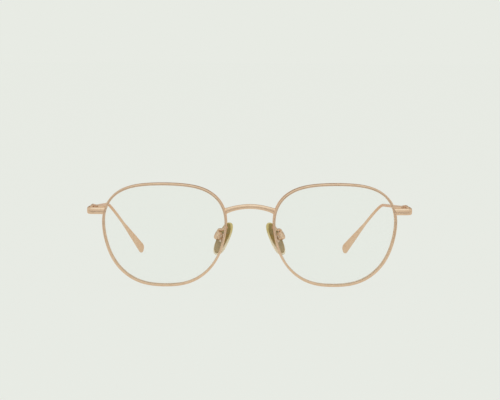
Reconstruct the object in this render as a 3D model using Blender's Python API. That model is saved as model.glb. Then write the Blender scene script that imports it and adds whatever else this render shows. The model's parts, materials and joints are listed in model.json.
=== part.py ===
"""Metal eyeglasses frame with screw-closed rims, two folding temples and rocking nose pads.

The design runs in millimetres and is scaled to metres at the end. +X is towards the wearer's left temple,
the front of the frame faces -Y, and +Z is up. The frame stands open on its two rims and two temple tips.
Every side piece is designed for the +X side and mirrored for the -X side.
"""

import math

import bmesh
import bpy
from mathutils import Matrix, Vector

METRE_PER_MM = 0.001
UP = Vector((0.0, 0.0, 1.0))
BACK = Vector((0.0, 1.0, 0.0))

# The whole frame
TABLE_TO_CENTRE_Y = 70.23  # from the design's front plane back to the middle of the open frame
BRAZE_GAP = 0.06  # brazed and fitted faces stand this far apart
RUNNING_GAP = 0.05  # a screw in its hole

# The lens shape: its radius at equal steps from bottom centre, past the temple side, to top centre
HALF_OUTLINE = (21.41, 22.24, 23.34, 24.09, 25.2, 26.97, 25.79, 22.64, 21.34)
OUTLINE_STATIONS = 60
LENS_CENTRE_X = 35.8
WRAP = math.radians(5.0)  # each lens turns back towards its temple
LEAN = math.radians(4.3)  # the top of the front leans forward
BASE_CURVE_RADIUS = 130.0
LENS_HALF_THICKNESS = 0.6

# The rim wire: a channel section with a V groove on its inner side
RIM_HALF_WIDTH = 0.49
RIM_HALF_DEPTH = 1.3
RIM_CHAMFER = 0.14
GROOVE_FLOOR = 0.02  # from the middle of the wire, outwards
GROOVE_HALF_MOUTH = 0.47
BEVEL_CLEARANCE = 0.10
SPLIT_ANGLE = math.radians(111.0)  # where the rim is cut, counted from bottom centre
SPLIT_HALF_GAP = math.radians(0.16)

# The bridge: an arched bar between the rims
BRIDGE_TOP_Z = 33.98
BRIDGE_ARCH = 0.0195  # drop per square millimetre from the middle
BRIDGE_BOW = 0.9  # how far its middle stands forward
BRIDGE_ROOT_X = 10.4  # about where its middle line meets the rims
BRIDGE_HALF_HEIGHT = 1.0
BRIDGE_HALF_DEPTH = 0.75
BRIDGE_END_FLARE = 0.25
BAR_POWER = 2.2  # 2 is an ellipse, higher is squarer

# The end piece, its closing blocks and the rim screw
END_PIECE_Z = 31.63
END_PIECE_HALF_HEIGHT = 1.45
END_PIECE_HALF_DEPTH = 0.75
END_PIECE_OUTER_X = 68.1
BLOCK_OUTER_X = 63.6
BLOCK_FRONT_Y = 4.56
BLOCK_REAR_Y = 6.96
BLOCK_SPLIT = 0.12
UPPER_BLOCK_TOP = 33.7
LOWER_BLOCK_BASE = 30.25
RIM_SCREW_X = 62.35
RIM_SCREW_Y = 5.8
RIM_SCREW_RADIUS = 0.45
RIM_SCREW_HEAD_RADIUS = 0.8
RIM_SCREW_HEAD_HEIGHT = 0.45
SCREW_SLOT_WIDTH = 0.22

# The hinge: two front knuckles, one temple knuckle between them
HINGE_X = 64.2
HINGE_Y = 8.0
HINGE_LOW_Z = 30.75
OUTER_KNUCKLE_HEIGHT = 0.65
MIDDLE_KNUCKLE_HEIGHT = 0.85
KNUCKLE_GAP = 0.25
KNUCKLE_RADIUS = 0.88
HINGE_SCREW_RADIUS = 0.42
HINGE_HEAD_RADIUS = 0.72
HINGE_HEAD_HEIGHT = 0.3
WASHER_THICKNESS = 0.15
LEAF_INNER_X = 65.13
LEAF_OUTER_X = 65.39
JOINT_PLANE_Y = 8.93  # rear face of the end piece, which stops the open temple

# The temple: a front block, a round wire, a bend behind the ear and a flat tip
TEMPLE_FRONT = Vector((66.1, 9.0, 32.55))
TEMPLE_BLOCK_END = Vector((66.1, 12.6, 32.5))
TEMPLE_WIRE_START = Vector((65.1, 22.0, 32.05))
TEMPLE_BEND = Vector((63.95, 109.5, 26.2))
TEMPLE_TIP = Vector((48.95, 141.7, 0.98))
TEMPLE_BEND_RADIUS = 37.0
TEMPLE_WIRE_RADIUS = 0.65
TEMPLE_BLOCK_HALF_HEIGHT = 1.27
TEMPLE_BLOCK_POWER = 3.6
TIP_HALF_WIDTH = 2.5
TIP_HALF_THICKNESS = 0.55
TIP_LENGTH = 26.0  # from the round wire to the tip's end, widening evenly
TIP_FLAT_SHARE = 0.5  # the tip's last half has its full flatness

# The nose pads, each on a screw in a small clevis at the end of a bent arm
PAD_CENTRE = Vector((10.9, 7.6, 19.6))
PAD_SPLAY = math.radians(38.0)
PAD_FRONTAL_TILT = math.radians(23.0)
PAD_HALF_LENGTH = 7.5
PAD_HALF_WIDTH = 3.9
PAD_BACK = 1.7  # from the screw axis to the pad's outer side
PAD_THICKNESS = 1.9
PAD_POWER = 2.6
PAD_NARROWING = 0.02  # towards its upper end
POCKET_DEPTH = 0.6
CORE_HALF_LENGTH = 2.0
CORE_HALF_WIDTH = 1.5
CORE_POWER = 2.4
CORE_CLEARANCE = 0.08  # between the core's rim and the pocket's wall
LUG_RADIUS = 0.72
LUG_NECK_HALF_LENGTH = 0.6
LUG_CLEARANCE = 0.1  # on each side, inside the clevis
CLEVIS_HALF_WIDTH = 1.25
CLEVIS_HALF_LENGTH = 1.7
CLEVIS_POWER = 4.0
CLEVIS_END_ROUND = 0.25
CLEVIS_SLOT_HALF = 0.7
CLEVIS_EAR_END = 0.7  # from the screw axis towards the pad
CLEVIS_SLOT_FLOOR = 0.85  # from the screw axis away from the pad
CLEVIS_BACK = 1.85
PAD_SCREW_RADIUS = 0.35
PAD_SCREW_HEAD_RADIUS = 0.75
PAD_SCREW_HEAD_HEIGHT = 0.4
PAD_ARM_RADIUS = 0.6
PAD_ARM_ANGLE = math.radians(-96.5)  # where the arm leaves the rim, counted from bottom centre

# How finely round things are divided
ROUND_STEPS = 24
BRIDGE_STATIONS = 16
WIRE_STEPS = 12
BAR_STEPS = 16
SHARP_ANGLE = math.radians(35.0)

# The looks: colour, roughness, metallic
ROSE_GOLD = ((0.72, 0.47, 0.33), 0.34, 1.0)
SCREW_METAL = ((0.70, 0.56, 0.42), 0.3, 1.0)
PAD_PLASTIC = ((0.62, 0.54, 0.30), 0.35, 0.0)
WASHER_PLASTIC = ((0.85, 0.82, 0.74), 0.5, 0.0)
LENS_PLASTIC = ((0.93, 0.95, 0.94), 0.04, 0.0)


# ---------------------------------------------------------------- scene and materials


def clear_scene():
    for item in list(bpy.data.objects):
        bpy.data.objects.remove(item, do_unlink=True)


def make_material(name, look):
    colour, roughness, metallic = look
    material = bpy.data.materials.new(name)
    material.use_nodes = True
    shader = material.node_tree.nodes["Principled BSDF"]
    shader.inputs["Base Color"].default_value = (*colour, 1.0)
    shader.inputs["Roughness"].default_value = roughness
    shader.inputs["Metallic"].default_value = metallic
    return material


# ---------------------------------------------------------------- mesh tools


def superellipse(half_a, half_b, power, count):
    """Closed outline of `count` points between an ellipse (power 2) and a rectangle, with flat top facets."""
    points = []
    for step in range(count):
        angle = math.tau * (step + 0.5) / count
        cosine, sine = math.cos(angle), math.sin(angle)
        a = half_a * math.copysign(abs(cosine) ** (2.0 / power), cosine)
        b = half_b * math.copysign(abs(sine) ** (2.0 / power), sine)
        points.append((a, b))
    return points


def place_section(centre, axis_a, axis_b, section):
    return [centre + axis_a * a + axis_b * b for a, b in section]


def join_rows(mesh, rows):
    """Quads between each closed row of vertices and the next one."""
    for near, far in zip(rows, rows[1:]):
        for step in range(len(near)):
            after = (step + 1) % len(near)
            mesh.faces.new((near[step], near[after], far[after], far[step]))


def skin(rings):
    """Closed mesh through equal rings of points, capped at both ends."""
    mesh = bmesh.new()
    rows = [[mesh.verts.new(point) for point in ring] for ring in rings]
    join_rows(mesh, rows)
    mesh.faces.new(rows[0])
    mesh.faces.new(reversed(rows[-1]))
    bmesh.ops.recalc_face_normals(mesh, faces=mesh.faces)
    return mesh


def prism(outline, base, along):
    """Straight solid on an outline of points, pushed by the vector `along`."""
    foot = [base + point for point in outline]
    return skin([foot, [point + along for point in foot]])


def cylinder(centre, axis, radius, start, end):
    """Round bar about `axis` through `centre`, from `start` to `end` along it."""
    axis = axis.normalized()
    side = axis.orthogonal().normalized()
    up = axis.cross(side)
    ring = []
    for step in range(ROUND_STEPS):
        angle = math.tau * (step + 0.5) / ROUND_STEPS
        ring.append(centre + side * (radius * math.cos(angle)) + up * (radius * math.sin(angle)))
    return skin([[point + axis * start for point in ring], [point + axis * end for point in ring]])


def box(low, high):
    """Upright box between two corners."""
    size = high - low
    corners = ((0.0, 0.0), (size.x, 0.0), (size.x, size.y), (0.0, size.y))
    return prism([Vector((x, y, 0.0)) for x, y in corners], low, UP * size.z)


def framed_box(frame, low, high):
    """Box between two corners given along a frame's own three axes."""
    mesh = box(low, high)
    bmesh.ops.transform(mesh, matrix=frame, verts=mesh.verts)
    bmesh.ops.recalc_face_normals(mesh, faces=mesh.faces)
    return mesh


def to_object(name, mesh):
    data = bpy.data.meshes.new(name)
    mesh.to_mesh(data)
    mesh.free()
    made = bpy.data.objects.new(name, data)
    bpy.context.scene.collection.objects.link(made)
    return made


def combine(solid, tools, operation):
    """Exact union with, or difference by, each of the tool meshes in turn. Returns one mesh."""
    target = to_object("work_solid", solid)
    for tool_mesh in tools:
        tool = to_object("work_tool", tool_mesh)
        modifier = target.modifiers.new("cut", "BOOLEAN")
        modifier.operation = operation
        modifier.solver = "EXACT"
        modifier.object = tool
        evaluated = target.evaluated_get(bpy.context.evaluated_depsgraph_get())
        result = bpy.data.meshes.new_from_object(evaluated)
        target.modifiers.clear()
        target.data = result
        bpy.data.objects.remove(tool, do_unlink=True)
    mesh = bmesh.new()
    mesh.from_mesh(target.data)
    bpy.data.objects.remove(target, do_unlink=True)
    return mesh


def finish(name, mesh, side, pivot, look):
    """Mirror a +X piece when side is -1, scale it to metres, colour it and hang it on its pivot."""
    matrix = Matrix.Diagonal((side, 1.0, 1.0, 1.0))
    bmesh.ops.transform(mesh, matrix=matrix, verts=mesh.verts)
    bmesh.ops.recalc_face_normals(mesh, faces=mesh.faces)
    bmesh.ops.translate(mesh, vec=-pivot["design"], verts=mesh.verts)
    bmesh.ops.scale(mesh, vec=(METRE_PER_MM,) * 3, verts=mesh.verts)
    made = to_object(name, mesh)
    made.data.materials.append(make_material(name, look))
    made.data.shade_smooth()
    made.data.set_sharp_from_angle(angle=SHARP_ANGLE)
    made.parent = pivot["empty"]


def make_pivot(name, design_point, parent=None):
    """Empty on a joint's axis. `design_point` is in design millimetres."""
    empty = bpy.data.objects.new(name, None)
    bpy.context.scene.collection.objects.link(empty)
    world = (design_point - BACK * TABLE_TO_CENTRE_Y) * METRE_PER_MM
    if parent is None:
        empty.location = world
    else:
        empty.parent = parent["empty"]
        empty.location = world - parent["world"]
    return {"empty": empty, "design": design_point, "world": world}


# ---------------------------------------------------------------- the lens plane


def outline_radius(angle):
    """Cosine series through HALF_OUTLINE, so the outline is smooth and the same on both halves."""
    steps = len(HALF_OUTLINE) - 1
    total = 0.0
    for order in range(steps + 1):
        weight = 0.0
        for index, radius in enumerate(HALF_OUTLINE):
            end = 0.5 if index in (0, steps) else 1.0
            weight += end * radius * math.cos(math.pi * index * order / steps)
        end = 0.5 if order in (0, steps) else 1.0
        total += end * weight * math.cos(order * angle)
    return total * 2.0 / steps


def outline_point(angle, offset=0.0):
    """In-plane point (towards the temple, up) on the outline, moved outwards by `offset`."""
    step = 0.001
    radius = outline_radius(angle)
    slope = (outline_radius(angle + step) - outline_radius(angle - step)) / (2.0 * step)
    outward = Vector((math.sin(angle), -math.cos(angle)))
    forward = Vector((math.cos(angle), math.sin(angle)))
    normal = (outward * radius - forward * slope).normalized()
    return outward * radius + normal * offset


LENS_U = Vector((math.cos(WRAP), math.sin(WRAP), 0.0))
LENS_V = Vector((math.sin(LEAN) * math.sin(WRAP), -math.sin(LEAN) * math.cos(WRAP), math.cos(LEAN)))
LENS_N = Vector((-math.cos(LEAN) * math.sin(WRAP), math.cos(LEAN) * math.cos(WRAP), math.sin(LEAN)))


def sag(u, v):
    return (u * u + v * v) / (2.0 * BASE_CURVE_RADIUS)


def rim_place(angle, offset, depth):
    """Point of the rim wire about the lens centre: `offset` outwards and `depth` to the rear of its middle."""
    u, v = outline_point(angle, offset)
    base_u, base_v = outline_point(angle)
    return LENS_U * u + LENS_V * v + LENS_N * (sag(base_u, base_v) + depth)


def lens_centre():
    """The lens centre, at the height that stands the lowest point of the rim on the table."""
    lowest = min(
        rim_place(math.tau * step / 720, RIM_HALF_WIDTH, depth).z
        for step in range(-90, 90)
        for depth in (RIM_CHAMFER - RIM_HALF_DEPTH, RIM_HALF_DEPTH - RIM_CHAMFER)
    )
    return Vector((LENS_CENTRE_X, 0.0, -lowest))


LENS_CENTRE = lens_centre()


def rim_point(angle, offset, depth):
    return LENS_CENTRE + rim_place(angle, offset, depth)


def rim_side_x(height, low_angle, high_angle, depth):
    """X at a height, just clear of the rim's outer side, found between a lower and a higher outline angle."""
    offset = RIM_HALF_WIDTH + BRAZE_GAP
    for _ in range(40):
        middle = (low_angle + high_angle) / 2.0
        if rim_point(middle, offset, depth).z < height:
            low_angle = middle
        else:
            high_angle = middle
    return rim_point((low_angle + high_angle) / 2.0, offset, depth).x


def temple_side_x(height, depth=0.0):
    return rim_side_x(height, math.radians(80.0), math.radians(130.0), depth)


def nose_side_x(height):
    return rim_side_x(height, math.radians(-80.0), math.radians(-130.0), 0.0)


def station_angle(step):
    return SPLIT_ANGLE + math.tau * step / OUTLINE_STATIONS


# ---------------------------------------------------------------- front pieces


def rim_mesh():
    """Channel section run round the lens shape, open at the split."""
    section = (
        (RIM_HALF_WIDTH - RIM_CHAMFER, -RIM_HALF_DEPTH),
        (RIM_HALF_WIDTH, RIM_CHAMFER - RIM_HALF_DEPTH),
        (RIM_HALF_WIDTH, RIM_HALF_DEPTH - RIM_CHAMFER),
        (RIM_HALF_WIDTH - RIM_CHAMFER, RIM_HALF_DEPTH),
        (-RIM_HALF_WIDTH, RIM_HALF_DEPTH),
        (-RIM_HALF_WIDTH, GROOVE_HALF_MOUTH),
        (GROOVE_FLOOR, 0.0),
        (-RIM_HALF_WIDTH, -GROOVE_HALF_MOUTH),
        (-RIM_HALF_WIDTH, -RIM_HALF_DEPTH),
    )
    rings = []
    for step in range(OUTLINE_STATIONS + 1):
        angle = station_angle(step)
        if step == 0:
            angle += SPLIT_HALF_GAP
        if step == OUTLINE_STATIONS:
            angle -= SPLIT_HALF_GAP
        rings.append([rim_point(angle, offset, depth) for offset, depth in section])
    return skin(rings)


def lens_mesh():
    """Thin curved lens with a V bevel round its edge that sits in the rim's groove."""
    edge = BEVEL_CLEARANCE - GROOVE_FLOOR
    shoulder = RIM_HALF_WIDTH + BRAZE_GAP
    bevel = GROOVE_HALF_MOUTH - BRAZE_GAP
    levels = (
        (shoulder, -LENS_HALF_THICKNESS),
        (shoulder, -bevel),
        (edge, 0.0),
        (shoulder, bevel),
        (shoulder, LENS_HALF_THICKNESS),
    )
    scales = (0.25, 0.5, 0.75)
    mesh = bmesh.new()
    rows = []

    def add_row(place):
        rows.append([mesh.verts.new(place(station_angle(step))) for step in range(OUTLINE_STATIONS)])

    def surface_row(scale, depth):
        def place(angle):
            u, v = outline_point(angle, -shoulder) * scale
            return LENS_CENTRE + LENS_U * u + LENS_V * v + LENS_N * (sag(u, v) + depth)

        add_row(place)

    for scale in scales:
        surface_row(scale, -LENS_HALF_THICKNESS)
    for inward, depth in levels:
        add_row(lambda angle, inward=inward, depth=depth: rim_point(angle, -inward, depth))
    for scale in reversed(scales):
        surface_row(scale, LENS_HALF_THICKNESS)
    join_rows(mesh, rows)
    for row, depth in ((rows[0], -LENS_HALF_THICKNESS), (rows[-1], LENS_HALF_THICKNESS)):
        middle = mesh.verts.new(LENS_CENTRE + LENS_N * depth)
        for step in range(OUTLINE_STATIONS):
            mesh.faces.new((row[step], row[(step + 1) % OUTLINE_STATIONS], middle))
    bmesh.ops.recalc_face_normals(mesh, faces=mesh.faces)
    return mesh


def bridge_mesh():
    """Arched bar whose ends flare and follow the outer sides of both rims."""
    half_span = nose_side_x(BRIDGE_TOP_Z - BRIDGE_ARCH * BRIDGE_ROOT_X**2)
    rings = []
    for step in range(BRIDGE_STATIONS + 1):
        share = 2.0 * step / BRIDGE_STATIONS - 1.0
        x = half_span * share
        centre = Vector((x, BRIDGE_BOW * (share * share - 1.0), BRIDGE_TOP_Z - BRIDGE_ARCH * x * x))
        along = Vector((1.0, 2.0 * BRIDGE_BOW * share / half_span, -2.0 * BRIDGE_ARCH * x)).normalized()
        up = along.cross(BACK).normalized()
        rear = up.cross(along)
        half_height = BRIDGE_HALF_HEIGHT + BRIDGE_END_FLARE * abs(share) ** 6
        section = superellipse(half_height, BRIDGE_HALF_DEPTH, BAR_POWER, BAR_STEPS)
        ring = place_section(centre, up, rear, section)
        if abs(share) == 1.0:
            ring = [Vector((share * nose_side_x(point.z), point.y, point.z)) for point in ring]
        rings.append(ring)
    return skin(rings)


def end_piece_mesh():
    """Bar that leaves the rim sideways, turns a rounded corner and runs back to the hinge."""
    run_x = END_PIECE_OUTER_X - END_PIECE_HALF_DEPTH
    front_y = BLOCK_FRONT_Y - BRAZE_GAP - END_PIECE_HALF_DEPTH
    route = (
        (61.2, front_y, 0.0, 1.0),
        (64.0, front_y, 0.0, 1.0),
        (65.9, front_y + 0.02, 0.0, 1.0),
        (66.75, front_y + 0.25, 0.02, 1.0),
        (run_x - 0.12, front_y + 0.85, 0.08, 1.0),
        (run_x - 0.05, front_y + 1.65, 0.2, 0.98),
        (run_x - 0.45, front_y + 2.5, 0.45, 0.95),
        (TEMPLE_FRONT.x + 0.25, front_y + 3.2, 0.7, 0.93),
        (TEMPLE_FRONT.x, front_y + 3.9, 0.9, 0.9),
        (TEMPLE_FRONT.x, JOINT_PLANE_Y, 1.0, 0.88),
    )
    rings = []
    for index, (x, y, rise, size) in enumerate(route):
        before = route[max(index - 1, 0)]
        after = route[min(index + 1, len(route) - 1)]
        along = Vector((after[0] - before[0], after[1] - before[1], 0.0)).normalized()
        if index == len(route) - 1:
            along = BACK
        across = Vector((-along.y, along.x, 0.0))
        power = BAR_POWER + (TEMPLE_BLOCK_POWER - BAR_POWER) * (index / (len(route) - 1))
        section = superellipse(END_PIECE_HALF_HEIGHT * size, END_PIECE_HALF_DEPTH * size, power, BAR_STEPS)
        centre = Vector((x, y, END_PIECE_Z + rise))
        ring = place_section(centre, UP, across, section)
        if index == 0:
            ring = [Vector((temple_side_x(point.z, -RIM_HALF_DEPTH), point.y, point.z)) for point in ring]
        rings.append(ring)
    return skin(rings)


def block_mesh(base, top):
    """Closing block: its inner side follows the rim, its other sides are flat."""
    corners = (
        (temple_side_x(base), base),
        (BLOCK_OUTER_X, base),
        (BLOCK_OUTER_X, top),
        (temple_side_x(top), top),
    )
    outline = [Vector((x, 0.0, z)) for x, z in corners]
    depth = BACK * (BLOCK_REAR_Y - BLOCK_FRONT_Y)
    return prism(outline, BACK * BLOCK_FRONT_Y, depth)


def rim_screw_hole(radius, start, end):
    return cylinder(Vector((RIM_SCREW_X, RIM_SCREW_Y, 0.0)), UP, radius, start, end)


def upper_block_mesh():
    solid = block_mesh(END_PIECE_Z + BLOCK_SPLIT / 2.0, UPPER_BLOCK_TOP)
    hole = rim_screw_hole(RIM_SCREW_RADIUS + RUNNING_GAP, LOWER_BLOCK_BASE, UPPER_BLOCK_TOP + 1.0)
    return combine(solid, [hole], "DIFFERENCE")


def lower_block_mesh():
    solid = block_mesh(LOWER_BLOCK_BASE, END_PIECE_Z - BLOCK_SPLIT / 2.0)
    hole = rim_screw_hole(RIM_SCREW_RADIUS + RUNNING_GAP, LOWER_BLOCK_BASE - 1.0, UPPER_BLOCK_TOP)
    seat_top = LOWER_BLOCK_BASE + RIM_SCREW_HEAD_HEIGHT + RUNNING_GAP
    seat = rim_screw_hole(RIM_SCREW_HEAD_RADIUS + RUNNING_GAP, LOWER_BLOCK_BASE - 1.0, seat_top)
    return combine(solid, [hole, seat], "DIFFERENCE")


def slot_cut(centre, axis, across, radius, depth):
    """Screwdriver slot as a small box across a screw head's outer face."""
    side = axis.cross(across)
    frame = Matrix((across, side, axis)).transposed().to_4x4()
    frame.translation = centre
    low = Vector((-radius * 1.5, -SCREW_SLOT_WIDTH / 2.0, -depth))
    high = Vector((radius * 1.5, SCREW_SLOT_WIDTH / 2.0, depth))
    return framed_box(frame, low, high)


def screw_mesh(centre, axis, shank_radius, length, head_radius, head_height, across):
    """Slotted screw: its head's outer face is at `centre`, and the shank runs along `axis` from there."""
    axis = axis.normalized()
    head = cylinder(centre, axis, head_radius, 0.0, head_height)
    shank = cylinder(centre, axis, shank_radius, head_height / 2.0, length)
    solid = combine(head, [shank], "UNION")
    return combine(solid, [slot_cut(centre, axis, across, head_radius, head_height * 0.45)], "DIFFERENCE")


def rim_screw_mesh():
    base = Vector((RIM_SCREW_X, RIM_SCREW_Y, LOWER_BLOCK_BASE))
    length = UPPER_BLOCK_TOP - LOWER_BLOCK_BASE
    return screw_mesh(
        base,
        UP,
        RIM_SCREW_RADIUS,
        length,
        RIM_SCREW_HEAD_RADIUS,
        RIM_SCREW_HEAD_HEIGHT,
        Vector((1.0, 0.0, 0.0)),
    )


# ---------------------------------------------------------------- hinge


MIDDLE_LOW_Z = HINGE_LOW_Z + OUTER_KNUCKLE_HEIGHT + KNUCKLE_GAP
MIDDLE_HIGH_Z = MIDDLE_LOW_Z + MIDDLE_KNUCKLE_HEIGHT
UPPER_LOW_Z = MIDDLE_HIGH_Z + KNUCKLE_GAP
HINGE_HIGH_Z = UPPER_LOW_Z + OUTER_KNUCKLE_HEIGHT


def hinge_round(radius, low, high):
    return cylinder(Vector((HINGE_X, HINGE_Y, 0.0)), UP, radius, low, high)


def hinge_bore():
    return hinge_round(HINGE_SCREW_RADIUS + RUNNING_GAP, HINGE_LOW_Z - 1.0, HINGE_HIGH_Z + 1.0)


def hinge_front_mesh():
    """Leaf on the end piece's inner side, with an upper and a lower knuckle on short webs."""
    leaf = box(
        Vector((LEAF_INNER_X, HINGE_Y - 1.1, HINGE_LOW_Z + 0.1)),
        Vector((LEAF_OUTER_X, JOINT_PLANE_Y - 0.08, HINGE_HIGH_Z - 0.1)),
    )
    parts = []
    for low, high in ((HINGE_LOW_Z, HINGE_LOW_Z + OUTER_KNUCKLE_HEIGHT), (UPPER_LOW_Z, HINGE_HIGH_Z)):
        parts.append(
            box(
                Vector((HINGE_X, HINGE_Y - KNUCKLE_RADIUS + 0.05, low + 0.12)),
                Vector((LEAF_INNER_X + 0.1, HINGE_Y + 0.3, high - 0.12)),
            )
        )
        parts.append(hinge_round(KNUCKLE_RADIUS, low, high))
    return combine(combine(leaf, parts, "UNION"), [hinge_bore()], "DIFFERENCE")


def hinge_temple_mesh():
    """Leaf on the temple's inner side, with one knuckle on an arm that fits between the front knuckles."""
    leaf = box(
        Vector((LEAF_INNER_X, HINGE_Y + 1.12, HINGE_LOW_Z + 0.2)),
        Vector((LEAF_OUTER_X, HINGE_Y + 4.1, HINGE_HIGH_Z - 0.1)),
    )
    arm_outline = (
        (0.5, 0.3),
        (0.84, 0.55),
        (0.93, 1.12),
        (1.1, 1.2),
        (1.1, 2.5),
        (0.9, 2.5),
        (0.0, 1.3),
        (-0.6, 0.55),
    )
    points = [Vector((x, y, 0.0)) for x, y in arm_outline]
    arm_base = Vector((HINGE_X, HINGE_Y, MIDDLE_LOW_Z + 0.05))
    arm = prism(points, arm_base, UP * (MIDDLE_KNUCKLE_HEIGHT - 0.1))
    knuckle = hinge_round(KNUCKLE_RADIUS, MIDDLE_LOW_Z, MIDDLE_HIGH_Z)
    return combine(combine(leaf, [arm, knuckle], "UNION"), [hinge_bore()], "DIFFERENCE")


def hinge_screw_mesh():
    top = Vector((HINGE_X, HINGE_Y, HINGE_HIGH_Z + RUNNING_GAP + HINGE_HEAD_HEIGHT))
    length = top.z - HINGE_LOW_Z - RUNNING_GAP
    return screw_mesh(
        top,
        -UP,
        HINGE_SCREW_RADIUS,
        length,
        HINGE_HEAD_RADIUS,
        HINGE_HEAD_HEIGHT,
        Vector((1.0, 0.0, 0.0)),
    )


def washer_mesh(gap_low_z):
    low = gap_low_z + (KNUCKLE_GAP - WASHER_THICKNESS) / 2.0
    disc = hinge_round(KNUCKLE_RADIUS - 0.03, low, low + WASHER_THICKNESS)
    return combine(disc, [hinge_bore()], "DIFFERENCE")


# ---------------------------------------------------------------- temple


def temple_route():
    """Points down the middle of the temple wire from the end of its front block, with the bend as an arc."""
    into = (TEMPLE_WIRE_START - TEMPLE_BEND).normalized()
    out = (TEMPLE_TIP - TEMPLE_BEND).normalized()
    half = into.angle(out) / 2.0
    tangent = TEMPLE_BEND_RADIUS / math.tan(half)
    centre = TEMPLE_BEND + (into + out).normalized() * (TEMPLE_BEND_RADIUS / math.sin(half))
    start = TEMPLE_BEND + into * tangent
    end = TEMPLE_BEND + out * tangent
    points = [TEMPLE_WIRE_START.lerp(start, share) for share in (0.0, 0.04, 0.36, 0.68, 1.0)]
    sweep_angle = math.pi - 2.0 * half
    arm, other = start - centre, end - centre
    for step in range(1, 9):
        angle = sweep_angle * step / 8
        weight_start = math.sin(sweep_angle - angle) / math.sin(sweep_angle)
        weight_end = math.sin(angle) / math.sin(sweep_angle)
        points.append(centre + arm * weight_start + other * weight_end)
    length = (TEMPLE_TIP - end).length
    distances = [length - TIP_LENGTH * (1.0 - TIP_FLAT_SHARE * share) for share in (0.0, 0.25, 0.5, 0.75, 1.0)]
    distances += [length - TIP_HALF_WIDTH * back for back in (1.0, 0.85, 0.65, 0.42, 0.2, 0.06, 0.0)]
    for distance in distances:
        points.append(end.lerp(TEMPLE_TIP, distance / length))
    return points


def tip_section(remaining):
    """Half width and half thickness of the flat tip, by the distance left to its end."""
    share = min(max(1.0 - remaining / TIP_LENGTH, 0.0), 1.0)
    width = TEMPLE_WIRE_RADIUS + (TIP_HALF_WIDTH - TEMPLE_WIRE_RADIUS) * share
    if remaining < TIP_HALF_WIDTH:
        round_share = 1.0 - remaining / TIP_HALF_WIDTH
        width *= max(math.sqrt(1.0 - round_share * round_share), 0.22)
    flat = min(share / TIP_FLAT_SHARE, 1.0)
    thickness = TEMPLE_WIRE_RADIUS + (TIP_HALF_THICKNESS - TEMPLE_WIRE_RADIUS) * flat
    return width, thickness, 2.0 + 1.6 * flat


def temple_mesh():
    """Front block, round wire and flat tip in one piece."""
    route = temple_route()
    block_half_depth = END_PIECE_HALF_DEPTH * 0.88
    block = superellipse(TEMPLE_BLOCK_HALF_HEIGHT, block_half_depth, TEMPLE_BLOCK_POWER, WIRE_STEPS)
    rings = []
    for share in (0.0, 0.5, 1.0):
        centre = TEMPLE_FRONT.lerp(TEMPLE_BLOCK_END, share)
        rings.append(place_section(centre, UP, BACK.cross(UP), block))
    for share in (0.25, 0.5, 0.75):
        blend = share * share * (3.0 - 2.0 * share)
        centre = TEMPLE_BLOCK_END.lerp(TEMPLE_WIRE_START, share)
        centre.x = TEMPLE_BLOCK_END.x + (TEMPLE_WIRE_START.x - TEMPLE_BLOCK_END.x) * blend
        height = TEMPLE_BLOCK_HALF_HEIGHT + (TEMPLE_WIRE_RADIUS - TEMPLE_BLOCK_HALF_HEIGHT) * blend
        depth = block_half_depth + (TEMPLE_WIRE_RADIUS - block_half_depth) * blend
        power = TEMPLE_BLOCK_POWER - (TEMPLE_BLOCK_POWER - 2.0) * blend
        section = superellipse(height, depth, power, WIRE_STEPS)
        rings.append(place_section(centre, UP, BACK.cross(UP), section))
    remaining = [0.0]
    for near, far in zip(reversed(route[:-1]), reversed(route[1:])):
        remaining.append(remaining[-1] + (far - near).length)
    remaining.reverse()
    for index, point in enumerate(route):
        before = route[max(index - 1, 0)]
        after = route[min(index + 1, len(route) - 1)]
        along = (after - before).normalized()
        tall = (UP - along * UP.dot(along)).normalized()
        width, thickness, power = tip_section(remaining[index])
        section = superellipse(width, thickness, power, WIRE_STEPS)
        rings.append(place_section(point, tall, along.cross(tall), section))
    return skin(rings)


# ---------------------------------------------------------------- nose pads


def pad_axes():
    """The screw axis (front to rear), the pad's long axis (up) and the way its face looks (to the nose)."""
    screw = Vector((math.sin(PAD_SPLAY), math.cos(PAD_SPLAY), 0.0))
    lean_x = -math.tan(PAD_FRONTAL_TILT)
    lean_y = -lean_x * math.tan(PAD_SPLAY)
    long = Vector((lean_x, lean_y, 1.0)).normalized()
    face = long.cross(screw)
    if face.x > 0.0:
        face.negate()
    return screw, long, face


PAD_SCREW_AXIS, PAD_LONG_AXIS, PAD_FACE_AXIS = pad_axes()
PAD_PIVOT = PAD_CENTRE - PAD_FACE_AXIS * (PAD_BACK + PAD_THICKNESS / 2.0)


def pad_frame():
    """Matrix from screw-axis, long-axis and face distances to design positions."""
    frame = Matrix((PAD_SCREW_AXIS, PAD_LONG_AXIS, PAD_FACE_AXIS)).transposed().to_4x4()
    frame.translation = PAD_PIVOT
    return frame


def pad_place(across, along, out):
    return pad_frame() @ Vector((across, along, out))


def pad_outline(scale, out):
    """Rounded ring of the pad: a little narrower at its upper end."""
    ring = []
    for across, along in superellipse(PAD_HALF_WIDTH, PAD_HALF_LENGTH, PAD_POWER, 28):
        narrow = 1.0 - PAD_NARROWING * along / PAD_HALF_LENGTH
        ring.append(pad_place(across * narrow * scale, along * scale, out))
    return ring


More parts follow.
